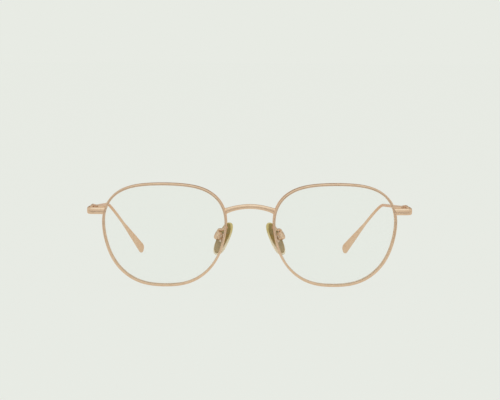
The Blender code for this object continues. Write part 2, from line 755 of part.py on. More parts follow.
def nose_pad_mesh():
    """Soft pad, thin at its edge, with a shallow pocket for the metal core in its outer side."""
    front = PAD_BACK + PAD_THICKNESS
    levels = (
        (0.3, PAD_BACK),
        (0.62, PAD_BACK + 0.06),
        (0.9, PAD_BACK + 0.26),
        (0.985, PAD_BACK + 0.5),
        (1.0, PAD_BACK + 0.8),
        (0.96, PAD_BACK + 1.12),
        (0.84, PAD_BACK + 1.42),
        (0.6, front - 0.18),
        (0.3, front),
    )
    body = skin([pad_outline(scale, out) for scale, out in levels])
    pocket_ring = superellipse(
        CORE_HALF_WIDTH + CORE_CLEARANCE,
        CORE_HALF_LENGTH + CORE_CLEARANCE,
        CORE_POWER,
        ROUND_STEPS,
    )
    bottom = [pad_place(across, along, PAD_BACK - 1.0) for across, along in pocket_ring]
    top = [pad_place(across, along, PAD_BACK + POCKET_DEPTH) for across, along in pocket_ring]
    return combine(body, [skin([bottom, top])], "DIFFERENCE")


def pad_core_mesh():
    """Metal plate in the pad's pocket, with a drilled lug that turns on the pad screw."""
    ring = superellipse(CORE_HALF_WIDTH, CORE_HALF_LENGTH, CORE_POWER, ROUND_STEPS)
    low = [pad_place(across, along, PAD_BACK + 0.05) for across, along in ring]
    high = [pad_place(across, along, PAD_BACK + POCKET_DEPTH - 0.06) for across, along in ring]
    half_lug = CLEVIS_SLOT_HALF - LUG_CLEARANCE
    eye = cylinder(PAD_PIVOT, PAD_SCREW_AXIS, LUG_RADIUS, -half_lug, half_lug)
    neck = framed_box(
        pad_frame(),
        Vector((-half_lug, -LUG_NECK_HALF_LENGTH, 0.0)),
        Vector((half_lug, LUG_NECK_HALF_LENGTH, PAD_BACK + POCKET_DEPTH / 2.0)),
    )
    hole_radius = PAD_SCREW_RADIUS + RUNNING_GAP
    hole = cylinder(PAD_PIVOT, PAD_SCREW_AXIS, hole_radius, -2.0 * half_lug, 2.0 * half_lug)
    return combine(combine(skin([low, high]), [neck, eye], "UNION"), [hole], "DIFFERENCE")


def pad_box_mesh():
    """Rounded clevis that holds the pad's lug: a thick back and two drilled ears."""
    middle = (CLEVIS_EAR_END - CLEVIS_BACK) / 2.0
    half_height = (CLEVIS_EAR_END + CLEVIS_BACK) / 2.0
    rings = []
    for across, inset in (
        (-CLEVIS_HALF_WIDTH, CLEVIS_END_ROUND),
        (CLEVIS_END_ROUND - CLEVIS_HALF_WIDTH, 0.0),
        (CLEVIS_HALF_WIDTH - CLEVIS_END_ROUND, 0.0),
        (CLEVIS_HALF_WIDTH, CLEVIS_END_ROUND),
    ):
        outline = superellipse(CLEVIS_HALF_LENGTH - inset, half_height - inset, CLEVIS_POWER, ROUND_STEPS)
        rings.append([pad_place(across, along, middle + out) for along, out in outline])
    solid = skin(rings)
    slot = framed_box(
        pad_frame(),
        Vector((-CLEVIS_SLOT_HALF, -2.0 * CLEVIS_HALF_LENGTH, -CLEVIS_SLOT_FLOOR)),
        Vector((CLEVIS_SLOT_HALF, 2.0 * CLEVIS_HALF_LENGTH, 2.0 * CLEVIS_EAR_END)),
    )
    hole_radius = PAD_SCREW_RADIUS + RUNNING_GAP
    reach = 2.0 * CLEVIS_HALF_WIDTH
    hole = cylinder(PAD_PIVOT, PAD_SCREW_AXIS, hole_radius, -reach, reach)
    return combine(solid, [slot, hole], "DIFFERENCE")


def pad_screw_mesh():
    head_start = CLEVIS_HALF_WIDTH + RUNNING_GAP + PAD_SCREW_HEAD_HEIGHT
    return screw_mesh(
        PAD_PIVOT - PAD_SCREW_AXIS * head_start,
        PAD_SCREW_AXIS,
        PAD_SCREW_RADIUS,
        head_start + CLEVIS_HALF_WIDTH,
        PAD_SCREW_HEAD_RADIUS,
        PAD_SCREW_HEAD_HEIGHT,
        PAD_LONG_AXIS,
    )


def spline(points, steps):
    """Smooth curve through the points (Catmull-Rom), with `steps` pieces to each span."""
    padded = [points[0] * 2.0 - points[1], *points, points[-1] * 2.0 - points[-2]]
    curve = []
    for index in range(1, len(padded) - 2):
        a, b, c, d = padded[index - 1 : index + 3]
        for step in range(steps):
            t = step / steps
            linear = (c - a) * t
            square = (a * 2.0 - b * 5.0 + c * 4.0 - d) * t**2
            cube = (b * 3.0 - a - c * 3.0 + d) * t**3
            curve.append((b * 2.0 + linear + square + cube) * 0.5)
    return [*curve, points[-1]]


def pad_arm_mesh():
    """Bent wire from the rear of the rim, back and down into the top of the clevis."""
    start = rim_point(PAD_ARM_ANGLE, 0.0, RIM_HALF_DEPTH + BRAZE_GAP)
    wall_middle = -(CLEVIS_SLOT_FLOOR + CLEVIS_BACK) / 2.0
    top = CLEVIS_HALF_LENGTH + BRAZE_GAP
    points = [
        start,
        start + LENS_N * 1.4,
        start + Vector((0.5, 2.4, -0.2)),
        start + Vector((1.4, 3.1, -1.2)),
        pad_place(0.0, top + 0.55, wall_middle),
        pad_place(0.0, top, wall_middle),
    ]
    curve = spline(points, 4)
    rings = []
    side = Vector((1.0, 0.0, 0.0))
    for index, point in enumerate(curve):
        before = curve[max(index - 1, 0)]
        after = curve[min(index + 1, len(curve) - 1)]
        along = (after - before).normalized()
        if index == 0:
            along = LENS_N
        if index == len(curve) - 1:
            along = -PAD_LONG_AXIS
        side = (side - along * side.dot(along)).normalized()
        section = superellipse(PAD_ARM_RADIUS, PAD_ARM_RADIUS, 2.0, 10)
        rings.append(place_section(point, side, along.cross(side), section))
    return skin(rings)


# ---------------------------------------------------------------- assembly


def main():
    clear_scene()
    front = make_pivot("front_frame", Vector((0.0, 0.0, 0.0)))
    finish("bridge", bridge_mesh(), 1, front, ROSE_GOLD)
    for side, hand in ((1, "left"), (-1, "right")):
        build_side(side, hand, front)


def build_side(side, hand, front):
    """All pieces of one side. `hand` is the wearer's side."""
    fixed = (
        ("rim", rim_mesh(), ROSE_GOLD),
        ("lens", lens_mesh(), LENS_PLASTIC),
        ("end_piece", end_piece_mesh(), ROSE_GOLD),
        ("closing_block_upper", upper_block_mesh(), ROSE_GOLD),
        ("closing_block_lower", lower_block_mesh(), ROSE_GOLD),
        ("rim_screw", rim_screw_mesh(), SCREW_METAL),
        ("hinge_front", hinge_front_mesh(), ROSE_GOLD),
        ("hinge_screw", hinge_screw_mesh(), SCREW_METAL),
        ("hinge_washer_lower", washer_mesh(MIDDLE_LOW_Z - KNUCKLE_GAP), WASHER_PLASTIC),
        ("hinge_washer_upper", washer_mesh(MIDDLE_HIGH_Z), WASHER_PLASTIC),
        ("pad_arm", pad_arm_mesh(), ROSE_GOLD),
        ("pad_box", pad_box_mesh(), ROSE_GOLD),
        ("pad_screw", pad_screw_mesh(), SCREW_METAL),
    )
    for name, mesh, look in fixed:
        finish(f"{name}_{hand}", mesh, side, front, look)

    fold_point = Vector((side * HINGE_X, HINGE_Y, HINGE_LOW_Z))
    fold = make_pivot(f"temple_pivot_{hand}", fold_point, front)
    finish(f"temple_{hand}", temple_mesh(), side, fold, ROSE_GOLD)
    finish(f"hinge_temple_{hand}", hinge_temple_mesh(), side, fold, ROSE_GOLD)

    rock_point = Vector((side * PAD_PIVOT.x, PAD_PIVOT.y, PAD_PIVOT.z))
    rock = make_pivot(f"pad_pivot_{hand}", rock_point, front)
    finish(f"pad_core_{hand}", pad_core_mesh(), side, rock, SCREW_METAL)
    finish(f"nose_pad_{hand}", nose_pad_mesh(), side, rock, PAD_PLASTIC)


main()
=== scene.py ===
"""Looks of a thin rose-gold eyeglasses frame with clear lenses and amber nose pads.

Shapes are worked out in the design's own millimetres, in which Y = 0 is the front plane, and are placed in
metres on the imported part. Side pieces are designed for +X, the wearer's left, and mirrored for the right.
"""

import json
import math

import bmesh
import bpy
from mathutils import Matrix, Vector


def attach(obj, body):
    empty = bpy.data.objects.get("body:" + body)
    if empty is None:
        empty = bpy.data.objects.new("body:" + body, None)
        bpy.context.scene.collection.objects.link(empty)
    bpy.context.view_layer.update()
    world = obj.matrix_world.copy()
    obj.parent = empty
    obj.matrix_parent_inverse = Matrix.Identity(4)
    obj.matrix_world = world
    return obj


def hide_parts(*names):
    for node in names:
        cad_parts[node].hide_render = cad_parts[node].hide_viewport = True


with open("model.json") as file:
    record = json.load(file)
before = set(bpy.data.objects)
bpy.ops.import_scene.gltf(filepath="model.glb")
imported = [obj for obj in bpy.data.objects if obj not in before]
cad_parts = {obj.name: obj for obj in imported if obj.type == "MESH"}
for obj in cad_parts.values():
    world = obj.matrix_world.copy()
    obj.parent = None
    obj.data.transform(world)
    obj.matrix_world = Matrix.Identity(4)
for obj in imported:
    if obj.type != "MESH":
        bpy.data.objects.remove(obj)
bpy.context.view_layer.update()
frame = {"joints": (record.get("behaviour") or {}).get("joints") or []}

METRE_PER_MM = 0.001
SIDEWAYS = Vector((1.0, 0.0, 0.0))
BACK = Vector((0.0, 1.0, 0.0))
UP = Vector((0.0, 0.0, 1.0))
JOINTS = {joint["name"]: joint for joint in frame["joints"]}

# The lens shape: its radius at equal steps from bottom centre, past the temple side, to top centre
HALF_OUTLINE = (21.41, 22.24, 23.34, 24.09, 25.2, 26.97, 25.79, 22.64, 21.34)
OUTLINE_STATIONS = 240
LENS_CENTRE_X = 35.8
WRAP = math.radians(5.0)
LEAN = math.radians(4.3)
BASE_CURVE_RADIUS = 130.0
LENS_HALF_THICKNESS = 0.6
LENS_CIRCLES = 14

# The rim wire, and how other pieces are brazed to it
RIM_HALF_WIDTH = 0.49
RIM_HALF_DEPTH = 1.3
RIM_CHAMFER = 0.14  # of the CAD rim, which stands on its chamfers' edges
RIM_OUTER_ROUND = 0.36
RIM_LIP_ROUND = 0.16
GROOVE_FLOOR = 0.02
GROOVE_HALF_MOUTH = 0.47
BEVEL_CLEARANCE = 0.10
BRAZE_GAP = 0.06
SPLIT_ANGLE = math.radians(111.0)
SPLIT_HALF_GAP = math.radians(0.12)
BRAZE_DEPTH = 0.12  # how far brazed pieces run into the rim
BRAZE_LENGTH = 0.7  # how far the braze spreads along a piece
BRAZE_SPREAD = 0.22  # how far it spreads on the rim

# The bridge
BRIDGE_TOP_Z = 33.98
BRIDGE_ARCH = 0.0195
BRIDGE_BOW = 0.9
BRIDGE_HALF_HEIGHT = 1.0
BRIDGE_HALF_DEPTH = 0.75
BRIDGE_END_FLARE = 0.25
BRIDGE_ROOT_X = 10.4  # about where it meets the rim
BAR_POWER = 2.2
BRIDGE_STATIONS = 72

# The end piece, its closing blocks and the rim screw
END_PIECE_Z = 31.63
END_PIECE_HALF_HEIGHT = 1.45
END_PIECE_HALF_DEPTH = 0.75
END_PIECE_OUTER_X = 68.1
END_PIECE_END_SIZE = 0.88  # the size of its hinge end, as a share of its front
BLOCK_OUTER_X = 63.6
BLOCK_FRONT_Y = 4.56
BLOCK_REAR_Y = 6.96
BLOCK_SPLIT = 0.12
UPPER_BLOCK_TOP = 33.7
LOWER_BLOCK_BASE = 30.25
RIM_SCREW_X = 62.35
RIM_SCREW_Y = 5.8
RIM_SCREW_RADIUS = 0.45
RIM_SCREW_HEAD_RADIUS = 0.8
RIM_SCREW_HEAD_HEIGHT = 0.45
CUT_BEYOND = 1.0  # how far a drill runs past the piece it cuts

# The hinge
HINGE_X = 64.2
HINGE_Y = 8.0
HINGE_LOW_Z = 30.75
OUTER_KNUCKLE_HEIGHT = 0.65
MIDDLE_KNUCKLE_HEIGHT = 0.85
KNUCKLE_GAP = 0.25
KNUCKLE_RADIUS = 0.88
HINGE_SCREW_RADIUS = 0.42
HINGE_HEAD_RADIUS = 0.72
HINGE_HEAD_HEIGHT = 0.3
WASHER_THICKNESS = 0.15
WASHER_INSET = 0.03
WASHER_EDGE_ROUND = 0.04
LEAF_INNER_X = 65.13
LEAF_OUTER_X = 65.39
LEAF_MARGIN = 0.1  # how much lower the leaf is than the knuckles, at each end
LEAF_FRONT_REACH = 1.1  # how far the front leaf runs before the hinge axis
TEMPLE_LEAF_START = 1.12  # where the temple leaf starts and ends behind the axis
TEMPLE_LEAF_END = 4.1
WEB_MARGIN = 0.12
WEB_REACH = 0.3
JOINT_PLANE_Y = 8.93
JOINT_CLEARANCE = 0.08
RUNNING_GAP = 0.05

# The temple
TEMPLE_FRONT = Vector((66.1, 9.0, 32.55))
TEMPLE_BLOCK_END = Vector((66.1, 12.6, 32.5))
TEMPLE_WIRE_START = Vector((65.1, 22.0, 32.05))
TEMPLE_BEND = Vector((63.95, 109.5, 26.2))
TEMPLE_TIP = Vector((48.95, 141.7, 0.98))
TEMPLE_BEND_RADIUS = 37.0
TEMPLE_WIRE_RADIUS = 0.65
TEMPLE_BLOCK_HALF_HEIGHT = 1.27
TEMPLE_BLOCK_POWER = 3.6
TEMPLE_RUN_STEPS = 40
TEMPLE_BEND_STEPS = 28
TEMPLE_BLEND_STEPS = 14
TIP_RUN_STEPS = 44
TIP_ROUND_STEPS = 12
TIP_HALF_WIDTH = 2.5
TIP_HALF_THICKNESS = 0.55
TIP_LENGTH = 26.0
TIP_FLAT_SHARE = 0.5
TIP_POWER = 3.2

# The nose pads
PAD_CENTRE = Vector((10.9, 7.6, 19.6))
PAD_SPLAY = math.radians(38.0)
PAD_FRONTAL_TILT = math.radians(23.0)
PAD_HALF_LENGTH = 7.5
PAD_HALF_WIDTH = 3.9
PAD_BACK = 1.7
PAD_THICKNESS = 1.9
PAD_POWER = 2.6
PAD_NARROWING = 0.02
PAD_OUTLINE_STEPS = 72
POCKET_DEPTH = 0.6
CORE_HALF_LENGTH = 2.0
CORE_HALF_WIDTH = 1.5
CORE_POWER = 2.4
CORE_CLEARANCE = 0.04
LUG_RADIUS = 0.72
LUG_NECK_HALF_LENGTH = 0.6
LUG_CLEARANCE = 0.1
CLEVIS_HALF_WIDTH = 1.25
CLEVIS_HALF_LENGTH = 1.7
CLEVIS_POWER = 3.4
CLEVIS_END_ROUND = 0.4
CLEVIS_SLOT_HALF = 0.7
CLEVIS_EAR_END = 0.7
CLEVIS_SLOT_FLOOR = 0.85
CLEVIS_BACK = 1.85
PAD_SCREW_RADIUS = 0.35
PAD_SCREW_HEAD_RADIUS = 0.75
PAD_SCREW_HEAD_HEIGHT = 0.4
PAD_ARM_RADIUS = 0.6
PAD_ARM_STEPS = 24
PAD_ARM_ANGLE = math.radians(-96.5)
PAD_ARM_SOCKET = 0.75  # how far the arm runs into the top of the clevis
PAD_ARM_SOCKET_LEAN = 0.12  # and how far it leans there towards the pad

# Screws, edges and how finely round things are divided
SCREW_SLOT_WIDTH = 0.22
SCREW_POINT_CHAMFER = 0.08
EDGE_ROUND = 0.09
JOINT_EDGE_ROUND = 0.13
ELLIPSE_POWER = 2.0
ROUND_STEPS = 48
WIRE_STEPS = 32
SHARP_ANGLE = math.radians(38.0)

# Camera, in metres
CAMERA_PLACE = (-0.0187, -0.89523, 0.09991)
CAMERA_FOCAL_LENGTH = 143.15
CAMERA_SHIFT_X = 0.0475
CAMERA_SENSOR = 36.0
CAMERA_PITCH = math.radians(4.39)  # downwards
CAMERA_YAW = math.radians(0.61)  # towards the wearer's left
CAMERA_ROLL = math.radians(0.28)

# Studio, in metres
BACKGROUND = (0.807, 0.831, 0.776)
FLOOR_RADIUS = 12.0
FLOOR_GLOW_SHARE = 0.95
LAMP_PLACE = (0.05, -0.75, 0.8)
LAMP_TILT = math.radians(42.0)
LAMP_SIZE = (1.4, 0.9)
LAMP_ENERGY = 1.9
LAMP_COLOUR = (0.55, 0.80, 1.0)
CARD_TINT = (1.0, 1.0, 0.97)
CARDS = (  # name, place, size, tilt in degrees, brightness
    ("far_floor_flag", (0.0, -0.545, 0.004), (2.0, 0.71), 0.0, 0.78),
    ("near_floor_flag", (0.0, -0.165, 0.004), (2.0, 0.05), 0.0, 0.22),
    ("rear_top_flag", (0.0, 0.9, 0.75), (3.0, 1.2), 60.0, 0.3),
)

# Colours
GRAZING_TINT = (0.88, 0.66, 0.53, 1.0)
ROSE_GOLD_TONES = ((0.765, 0.53, 0.365), (0.80, 0.565, 0.395), (0.835, 0.60, 0.43))
SCREW_TONES = ((0.66, 0.49, 0.36), (0.72, 0.56, 0.43), (0.78, 0.63, 0.50))
PAD_RING_PLACES = (0.45, 0.97, 1.02, 1.06)  # from the pad's middle, 0, to its edge, about 1
PAD_RING_WANDER = 0.12
PAD_PAINTED_LIGHT_HEIGHTS = (-3.0, 4.0)  # up the pad in millimetres, from the lower tones with painted light only to the upper tones only
# Pad tones from its middle to its edge. The lower part's tones hold painted light: they are paler and
# creamier than the upper part's.
PAD_UPPER_TONES = ((0.30, 0.19, 0.02), (0.34, 0.22, 0.03), (0.58, 0.43, 0.11), (0.74, 0.58, 0.22))
PAD_LOWER_PAINTED_LIGHT_TONES = ((0.42, 0.28, 0.12), (0.47, 0.32, 0.15), (0.85, 0.66, 0.43), (1.0, 0.85, 0.64))
NYLON_TONES = ((0.78, 0.75, 0.66), (0.86, 0.84, 0.77))
LENS_SHEEN_TONES = ((0.82, 0.93, 0.86), (0.90, 0.95, 0.95))
LENS_SHEEN_SHARE = (0.008, 0.55)  # straight on, and at a grazing angle
LENS_CLEAR = (0.992, 0.996, 0.992, 1.0)


# ---------------- camera


def make_camera():
    data = bpy.data.cameras.new("photo_camera")
    data.lens = CAMERA_FOCAL_LENGTH
    data.sensor_width = CAMERA_SENSOR
    data.shift_x = CAMERA_SHIFT_X
    data.clip_start = 0.01
    data.clip_end = 50.0
    camera = bpy.data.objects.new("photo_camera", data)
    bpy.context.scene.collection.objects.link(camera)
    yaw = Matrix.Rotation(-CAMERA_YAW, 4, "Z")
    pitch = Matrix.Rotation(math.radians(90.0) - CAMERA_PITCH, 4, "X")
    roll = Matrix.Rotation(CAMERA_ROLL, 4, "Z")
    camera.matrix_world = Matrix.Translation(CAMERA_PLACE) @ yaw @ pitch @ roll
    bpy.context.scene.camera = camera


make_camera()


# ---------------- materials


def start_material(name):
    """Material with one Principled shader. Returns it with its node tree and shader."""
    material = bpy.data.materials.new(name)
    material.use_nodes = True
    tree = material.node_tree
    return material, tree, tree.nodes["Principled BSDF"]


def set_inputs(tree, node, values):
    """Gives each input its own number or colour, or links it to the socket given."""
    for name, value in values.items():
        if isinstance(value, bpy.types.NodeSocket):
            tree.links.new(value, node.inputs[name])
        else:
            node.inputs[name].default_value = value


def add_node(tree, kind, output, values):
    node = tree.nodes.new(f"ShaderNode{kind}")
    set_inputs(tree, node, values)
    return node.outputs[output]


def grain_coordinates(tree, stretch=(1.0, 1.0, 1.0)):
    """Position along and across a piece in millimetres, scaled by `stretch` on each axis."""
    grain = tree.nodes.new("ShaderNodeAttribute")
    grain.attribute_name = "grain"
    return add_node(tree, "Mapping", "Vector", {"Vector": grain.outputs["Vector"], "Scale": stretch})


def noise(tree, vector, scale, detail, roughness=0.55):
    values = {"Vector": vector, "Scale": scale, "Detail": detail, "Roughness": roughness}
    return add_node(tree, "TexNoise", "Fac", values)


def ramp(tree, factor, places, tones):
    """Colour ramp with one tone at each place."""
    node = tree.nodes.new("ShaderNodeValToRGB")
    elements = node.color_ramp.elements
    while len(elements) < len(places):
        elements.new(0.5)
    for element, place, tone in zip(elements, places, tones):
        element.position = place
        element.color = (*tone, 1.0)
    tree.links.new(factor, node.inputs["Fac"])
    return node.outputs["Color"]


def map_range(tree, value, source, target):
    """Maps a value from the range `source` to the range `target`."""
    ends = dict(zip(("From Min", "From Max", "To Min", "To Max"), (*source, *target)))
    return add_node(tree, "MapRange", "Result", {"Value": value, **ends})


def spread(tree, factor, low, high):
    """Maps the middle of a noise to the range low to high."""
    return map_range(tree, factor, (0.3, 0.7), (low, high))


def bump(tree, height, strength, distance_mm, **below):
    """Bumps on the plain surface, or on `Normal` if that is given."""
    values = {"Height": height, "Strength": strength, "Distance": distance_mm * METRE_PER_MM}
    return add_node(tree, "Bump", "Normal", {**values, **below})


def mix_surfaces(tree, share, first, second):
    """Shows the first surface, and the second by `share`, which is a number or a socket."""
    mixed = add_node(tree, "MixShader", "Shader", {"Fac": share, 1: first, 2: second})
    tree.links.new(mixed, tree.nodes["Material Output"].inputs["Surface"])


def satin_metal(name, tones, roughness):
    """Plated metal, brushed lengthwise, with soft cloudy changes of tone and fine pits."""
    material, tree, shader = start_material(name)
    plain = grain_coordinates(tree)
    brushed = grain_coordinates(tree, stretch=(0.35, 9.0, 9.0))
    hairlines = noise(tree, brushed, scale=1.0, detail=5.0, roughness=0.6)
    clouds = noise(tree, plain, scale=0.45, detail=3.0)
    pits = noise(tree, plain, scale=14.0, detail=2.0)
    pitted = bump(tree, pits, strength=0.08, distance_mm=0.01)
    values = {
        "Base Color": ramp(tree, clouds, (0.3, 0.5, 0.72), tones),
        "Roughness": spread(tree, hairlines, *roughness),
        "Normal": bump(tree, hairlines, strength=0.12, distance_mm=0.012, Normal=pitted),
        "Metallic": 1.0,
        "Specular Tint": GRAZING_TINT,
        "Coat Weight": 0.06,
        "Coat Roughness": 0.28,
        "Coat IOR": 1.5,
    }
    set_inputs(tree, shader, values)
    return material


def pad_plastic(name):
    """Amber plastic: glossy and slightly see-through, deep olive in its middle and pale at its thin edge,
    with painted light that makes its lower part paler and creamier than its upper part.
    """
    material, tree, shader = start_material(name)
    plain = grain_coordinates(tree)
    rounded = grain_coordinates(tree, stretch=(1.0 / PAD_HALF_WIDTH, 1.0 / PAD_HALF_LENGTH, 0.0))
    reach = tree.nodes.new("ShaderNodeVectorMath")
    reach.operation = "LENGTH"
    tree.links.new(rounded, reach.inputs[0])
    wander = tree.nodes.new("ShaderNodeMath")
    wander.operation = "MULTIPLY_ADD"
    clouds = noise(tree, plain, scale=0.5, detail=3.0)
    set_inputs(tree, wander, {0: clouds, 1: PAD_RING_WANDER, 2: reach.outputs["Value"]})
    rings = wander.outputs["Value"]
    height = add_node(tree, "SeparateXYZ", "Y", {"Vector": plain})
    # Painted light: the lower part of the pad is painted in paler, creamier tones than its upper part
    blend = {
        "Fac": map_range(tree, height, PAD_PAINTED_LIGHT_HEIGHTS, (0.0, 1.0)),
        "Color1": ramp(tree, rings, PAD_RING_PLACES, PAD_LOWER_PAINTED_LIGHT_TONES),
        "Color2": ramp(tree, rings, PAD_RING_PLACES, PAD_UPPER_TONES),
    }
    grain = noise(tree, plain, scale=3.0, detail=3.0)
    values = {
        "Base Color": add_node(tree, "MixRGB", "Color", blend),
        "Roughness": spread(tree, grain, 0.18, 0.26),
        "Normal": bump(tree, grain, strength=0.1, distance_mm=0.02),
        "IOR": 1.46,
        "Transmission Weight": 0.12,
        "Coat Weight": 0.3,
        "Coat Roughness": 0.12,
    }
    set_inputs(tree, shader, values)
    return material


def lens_plastic(name):
    """Clear demonstration lens: almost nothing shows but a faint greenish sheen towards its edges."""
    material, tree, shader = start_material(name)
    plain = grain_coordinates(tree)
    haze = noise(tree, plain, scale=0.08, detail=3.0)
    polish = noise(tree, plain, scale=3.0, detail=2.0)
    values = {
        "Base Color": ramp(tree, haze, (0.35, 0.65), LENS_SHEEN_TONES),
        "Roughness": spread(tree, polish, 0.02, 0.05),
        "IOR": 1.5,
    }
    set_inputs(tree, shader, values)
    clear = add_node(tree, "BsdfTransparent", "BSDF", {"Color": LENS_CLEAR})
    facing = add_node(tree, "LayerWeight", "Fresnel", {"Blend": 0.12})
    sheen = map_range(tree, facing, (0.0, 1.0), LENS_SHEEN_SHARE)
    mix_surfaces(tree, sheen, clear, shader.outputs["BSDF"])
    return material


def washer_plastic(name):
    """Milky nylon with a faint grain."""
    material, tree, shader = start_material(name)
    grain = noise(tree, grain_coordinates(tree), scale=9.0, detail=3.0)
    values = {
        "Base Color": ramp(tree, grain, (0.3, 0.7), NYLON_TONES),
        "Roughness": spread(tree, grain, 0.42, 0.55),
        "Normal": bump(tree, grain, strength=0.2, distance_mm=0.01),
        "Subsurface Weight": 0.2,
    }
    set_inputs(tree, shader, values)
    return material


LOOKS = {
    "frame_metal": satin_metal("satin_rose_gold", ROSE_GOLD_TONES, roughness=(0.22, 0.34)),
    "screw_metal": satin_metal("screw_steel_plated", SCREW_TONES, roughness=(0.18, 0.30)),
    "pad_plastic": pad_plastic("pad_amber_plastic"),
    "washer_plastic": washer_plastic("washer_nylon"),
    "lens_plastic": lens_plastic("clear_lens"),
}


# ---------------- mesh tools


def superellipse(half_a, half_b, power, count):
    """Closed outline of `count` points, from an ellipse at power 2 towards a rectangle above it."""
    points = []
    for step in range(count):
        angle = math.tau * (step + 0.5) / count
        cosine, sine = math.cos(angle), math.sin(angle)
        a = half_a * math.copysign(abs(cosine) ** (2.0 / power), cosine)
        b = half_b * math.copysign(abs(sine) ** (2.0 / power), sine)
        points.append((a, b))
    return points


def arc(middle_a, middle_b, radius, start_degrees, steps=5):
    """Quarter circle of points, counter-clockwise from `start_degrees`."""
    points = []
    for step in range(steps + 1):
        angle = math.radians(start_degrees + 90.0 * step / steps)
        points.append((middle_a + radius * math.cos(angle), middle_b + radius * math.sin(angle)))
    return points


def place_section(centre, axis_a, axis_b, section):
    return [centre + axis_a * a + axis_b * b for a, b in section]


def middle_of(ring):
    return sum(ring, Vector()) / len(ring)


def soften_end(rings, direction, fillet, steps=4):
    """Rounds the edge of the last ring, which faces `direction`, and keeps the piece's length."""
    last = rings.pop()
    middle = middle_of(last)
    for outset, forward in arc(-fillet, -fillet, fillet, 0.0, steps):
        ring = []
        for point in last:
            outward = point - middle
            shorter = max(1.0 + outset / outward.length, 0.05)
            ring.append(middle + outward * shorter + direction * forward)
        rings.append(ring)
    return rings


def join_rows(mesh, rows):
    """Quads between each closed row of vertices and the next one."""
    for near, far in zip(rows, rows[1:]):
        for step in range(len(near)):
            after = (step + 1) % len(near)
            mesh.faces.new((near[step], near[after], far[after], far[step]))


def skin(rings):
    """Closed mesh through equal rings of points, with the brushing laid along its length."""
    mesh = bmesh.new()
    grain = mesh.verts.layers.float_vector.new("grain")
    rows = []
    travelled = 0.0
    before = middle_of(rings[0])
    for ring in rings:
        middle = middle_of(ring)
        travelled += (middle - before).length
        before = middle
        row = []
        for step, point in enumerate(ring):
            vertex = mesh.verts.new(point)
            turn = math.tau * step / len(ring)
            radius = (point - middle).length
            vertex[grain] = Vector((travelled, radius * math.cos(turn), radius * math.sin(turn)))
            row.append(vertex)
        rows.append(row)
    join_rows(mesh, rows)
    mesh.faces.new(rows[0])
    mesh.faces.new(reversed(rows[-1]))
    bmesh.ops.recalc_face_normals(mesh, faces=mesh.faces)
    return mesh


def lathe(centre, axis, profile):
    """Solid turned about `axis` from (radius, distance along the axis) points. Its ends are flat."""
    axis = axis.normalized()
    side = axis.orthogonal().normalized()
    up = axis.cross(side)
    rings = []
    for radius, along in profile:
        ring = []
        for step in range(ROUND_STEPS):
            angle = math.tau * (step + 0.5) / ROUND_STEPS
            spoke = side * math.cos(angle) + up * math.sin(angle)
            ring.append(centre + axis * along + spoke * radius)
        rings.append(ring)
    return skin(rings)


def round_bar(centre, axis, radius, start, end, fillet=0.0):
    """Round bar about `axis` from `start` to `end`, with its two edges rounded by `fillet`."""
    if fillet == 0.0:
        return lathe(centre, axis, ((radius, start), (radius, end)))
    low = arc(radius - fillet, start + fillet, fillet, -90.0, steps=4)
    high = [(edge, start + end - along) for edge, along in reversed(low)]
    return lathe(centre, axis, (*low, *high))


def box(low, high, rounding=0.0):
    """Upright box between two corners, with rounded edges."""
    mesh = bmesh.new()
    bmesh.ops.create_cube(mesh, size=1.0)
    size = high - low
    middle = (high + low) / 2.0
    for vertex in mesh.verts:
        vertex.co = middle + Vector(a * b for a, b in zip(vertex.co, size))
    soften_edges(mesh, rounding)
    return mesh


def soften_edges(mesh, rounding):
    if rounding > 0.0:
        bmesh.ops.bevel(
            mesh,
            geom=mesh.edges[:],
            offset=rounding,
            segments=3,
            profile=0.5,
            affect="EDGES",
            clamp_overlap=True,
        )


def framed_box(place, low, high, rounding=0.0):
    """Box between two corners given along a frame's own three axes."""
    mesh = box(low, high, rounding)
    bmesh.ops.transform(mesh, matrix=place, verts=mesh.verts)
    bmesh.ops.recalc_face_normals(mesh, faces=mesh.faces)
    return mesh


def prism(outline, along, rounding=0.0):
    """Straight solid on an outline of points, pushed by the vector `along`, with rounded edges."""
    mesh = bmesh.new()
    foot = [mesh.verts.new(point) for point in outline]
    top = [mesh.verts.new(point + along) for point in outline]
    join_rows(mesh, [foot, top])
    mesh.faces.new(foot)
    mesh.faces.new(reversed(top))
    bmesh.ops.recalc_face_normals(mesh, faces=mesh.faces)
    soften_edges(mesh, rounding)
    return mesh


def to_object(name, mesh):
    data = bpy.data.meshes.new(name)
    mesh.to_mesh(data)
    mesh.free()
    made = bpy.data.objects.new(name, data)
    bpy.context.scene.collection.objects.link(made)
    return made


def combine(solid, tools, operation):
    """Exact union with, or difference by, each of the tool meshes in turn. Returns one mesh."""
    target = to_object("work_solid", solid)
    for tool_mesh in tools:
        tool = to_object("work_tool", tool_mesh)
        modifier = target.modifiers.new("cut", "BOOLEAN")
        modifier.operation = operation
        modifier.solver = "EXACT"
        modifier.object = tool
        evaluated = target.evaluated_get(bpy.context.evaluated_depsgraph_get())
        result = bpy.data.meshes.new_from_object(evaluated)
        target.modifiers.clear()
        target.data = result
        bpy.data.objects.remove(tool, do_unlink=True)
    mesh = bmesh.new()
    mesh.from_mesh(target.data)
    bpy.data.objects.remove(target, do_unlink=True)
    return mesh


def add_grain(mesh, place=None):
    """Gives a mesh with no lengthwise brushing its own position as grain, in `place` if one is given."""
    layers = mesh.verts.layers.float_vector
    grain = layers.get("grain") or layers.new("grain")
    inward = place.inverted() if place else Matrix.Identity(4)
    for vertex in mesh.verts:
        vertex[grain] = inward @ vertex.co


